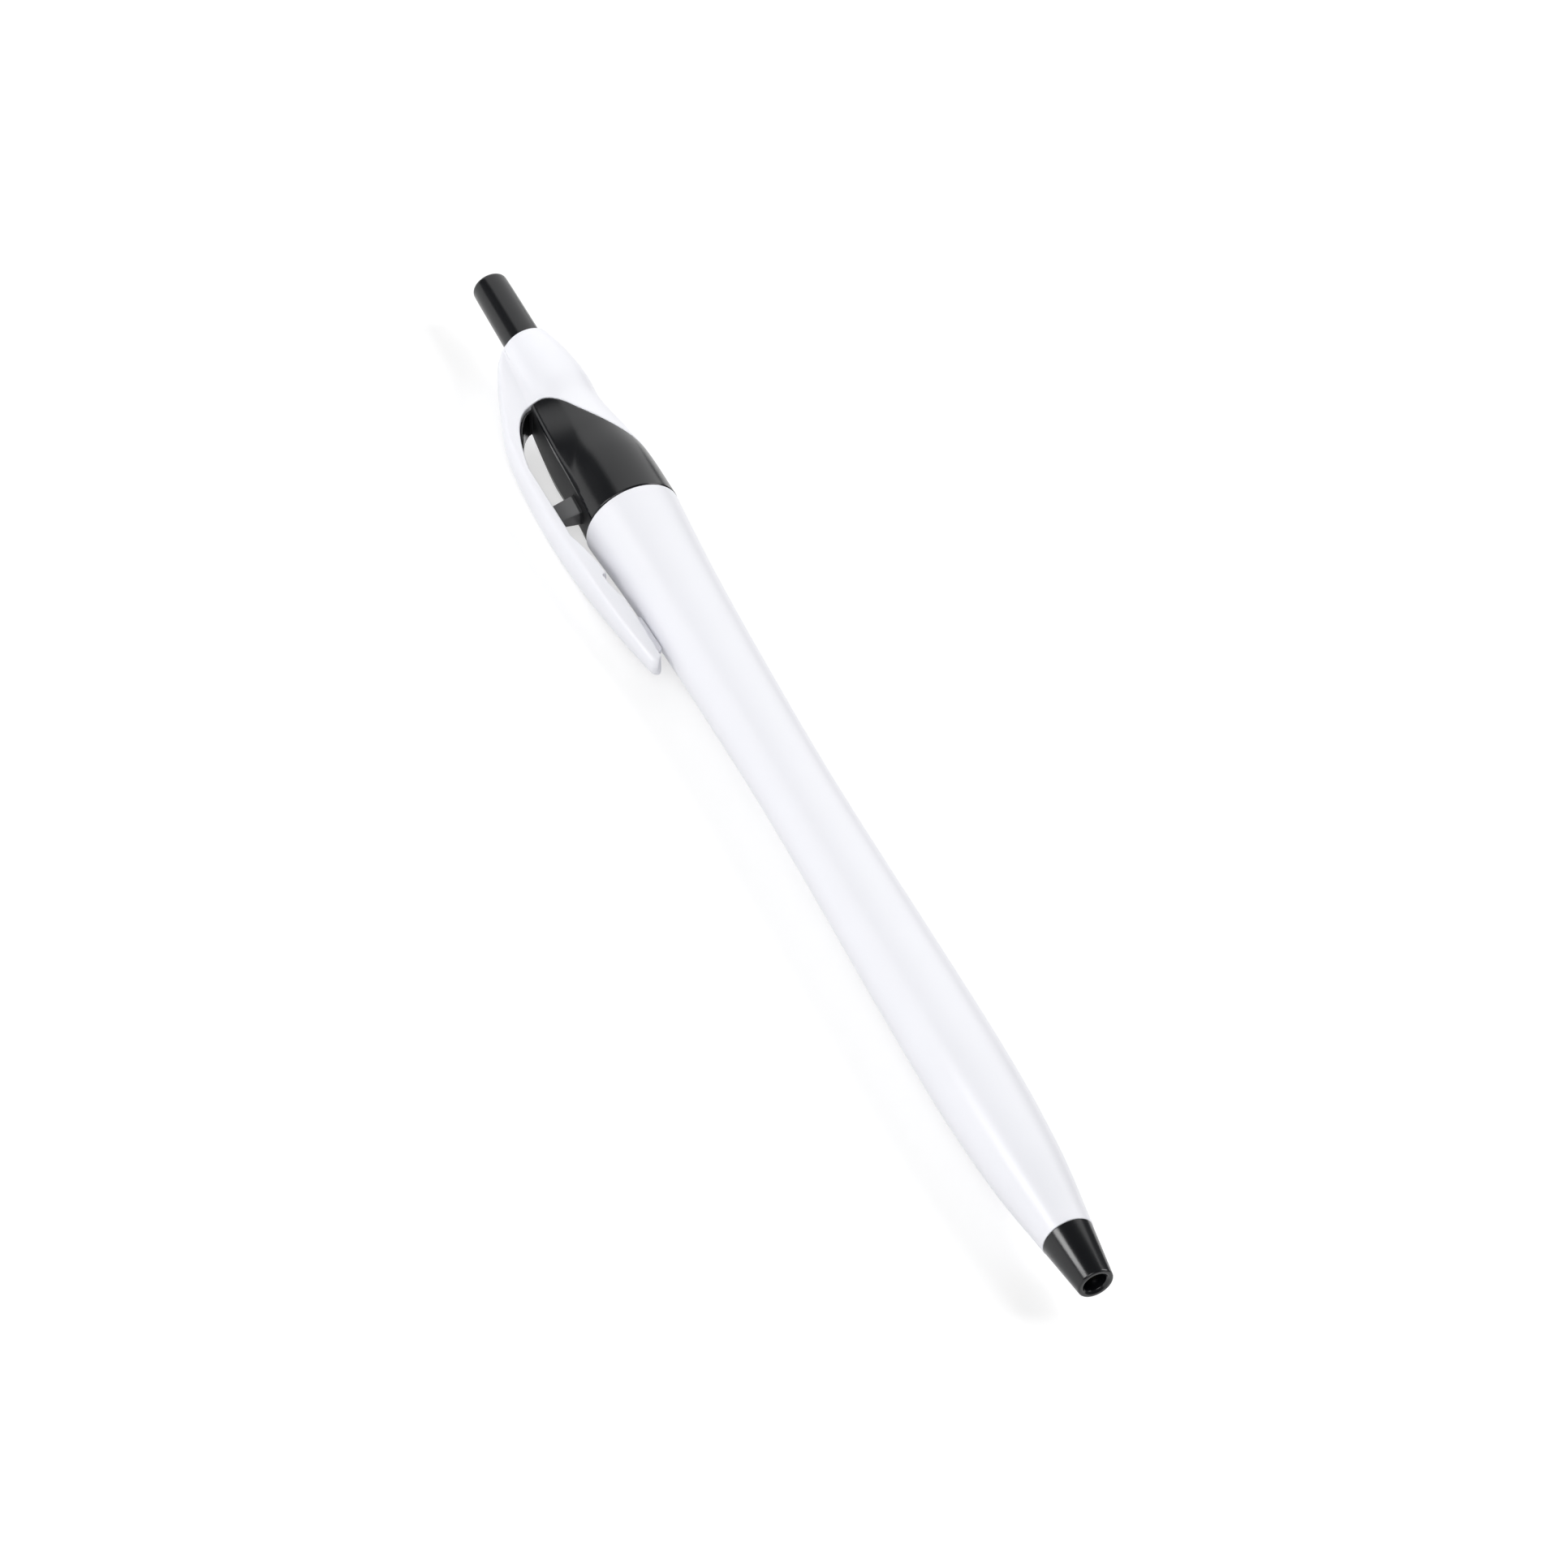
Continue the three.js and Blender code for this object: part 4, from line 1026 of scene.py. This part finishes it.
def table_finish():
    """A pale table: white to the camera, and still showing the shadow that falls on it."""
    made = bpy.data.materials.new("pale_table")
    made.use_nodes = True
    nodes, links = made.node_tree.nodes, made.node_tree.links
    nodes.clear()
    output = nodes.new("ShaderNodeOutputMaterial")
    matt = nodes.new("ShaderNodeBsdfDiffuse")
    matt.inputs["Color"].default_value = (0.8, 0.8, 0.81, 1)
    shaded = nodes.new("ShaderNodeBsdfDiffuse")
    shaded.inputs["Color"].default_value = (0.5, 0.5, 0.5, 1)
    glow = nodes.new("ShaderNodeEmission")
    glow.inputs["Strength"].default_value = 0.6
    bright = nodes.new("ShaderNodeAddShader")
    links.new(shaded.outputs[0], bright.inputs[0])
    links.new(glow.outputs[0], bright.inputs[1])
    ray = nodes.new("ShaderNodeLightPath").outputs
    seen = math_node(made.node_tree, "MAXIMUM", ray["Is Camera Ray"], ray["Is Glossy Ray"])
    seen = math_node(made.node_tree, "MAXIMUM", seen, ray["Is Transmission Ray"])
    pick = nodes.new("ShaderNodeMixShader")
    links.new(seen, pick.inputs[0])
    links.new(matt.outputs[0], pick.inputs[1])
    links.new(bright.outputs[0], pick.inputs[2])
    links.new(pick.outputs[0], output.inputs["Surface"])
    return made


HALF_TABLE = 3
table_corners = [(HALF_TABLE * i, HALF_TABLE * j, 0) for i, j in ((-1, -1), (1, -1), (1, 1), (-1, 1))]
floor_mesh = bpy.data.meshes.new("table_top")
floor_mesh.from_pydata(table_corners, [], [(0, 1, 2, 3)])
floor_mesh.materials.append(table_finish())
floor = bpy.data.objects.new("table_top", floor_mesh)
bpy.context.scene.collection.objects.link(floor)


def soft_lamp(name, way, distance, size, radiance, shift=0.0):
    """A soft rectangle of light facing the pen from a direction, shifted sideways in its own plane."""
    facing = Vector(way).normalized()
    sideways = Vector((-facing.y, facing.x, 0)).normalized()
    light = bpy.data.lights.new(name, "AREA")
    light.shape = "RECTANGLE"
    light.size, light.size_y = size
    light.energy = radiance * math.pi * size[0] * size[1]
    lamp = bpy.data.objects.new(name, light)
    lamp.location = facing * distance + sideways * shift
    lamp.rotation_mode = "QUATERNION"
    lamp.rotation_quaternion = (-facing).to_track_quat("-Z", "Y")
    bpy.context.scene.collection.objects.link(lamp)


soft_lamp(
    "softbox_behind", (-0.80, 0.30, 0.52), distance=1.3, size=(2.04, 1.56), radiance=1.2, shift=0.21
)
soft_lamp("softbox_over_camera", (0.45, -0.62, 0.64), distance=1.5, size=(0.9, 0.9), radiance=3.5)
soft_lamp("softbox_far_side", (0.10, 0.70, 0.70), distance=1.5, size=(0.8, 0.8), radiance=6.0)
soft_lamp("strip_beside_clip", (-0.28, -0.9, 0.345), distance=1.0, size=(0.32, 0.36), radiance=10.8)

world = bpy.data.worlds.new("studio")
bpy.context.scene.world = world
world.use_nodes = True
around = world.node_tree.nodes["Background"]
around.inputs["Color"].default_value = (0.95, 0.96, 1.0, 1)
around.inputs["Strength"].default_value = 0.1

CAMERA_PLACE = (0.658104, -0.616373, 0.692482)
CAMERA_RIGHT = (0.423252, 0.836796, 0.347319)
CAMERA_UP = (-0.696955, 0.055778, 0.714942)
CAMERA_BACK = (0.578888, -0.544667, 0.606817)

scene = bpy.context.scene
scene.view_settings.view_transform = "Standard"
camera_data = bpy.data.cameras.new("camera")
camera_data.lens = 266.05
camera_data.sensor_width = 36.0
camera_data.clip_start = 0.05
camera_data.clip_end = 20.0
camera = bpy.data.objects.new("camera", camera_data)
scene.collection.objects.link(camera)
camera_turn = Matrix((CAMERA_RIGHT, CAMERA_UP, CAMERA_BACK)).transposed()
camera.matrix_world = Matrix.Translation(CAMERA_PLACE) @ camera_turn.to_4x4()
scene.camera = camera
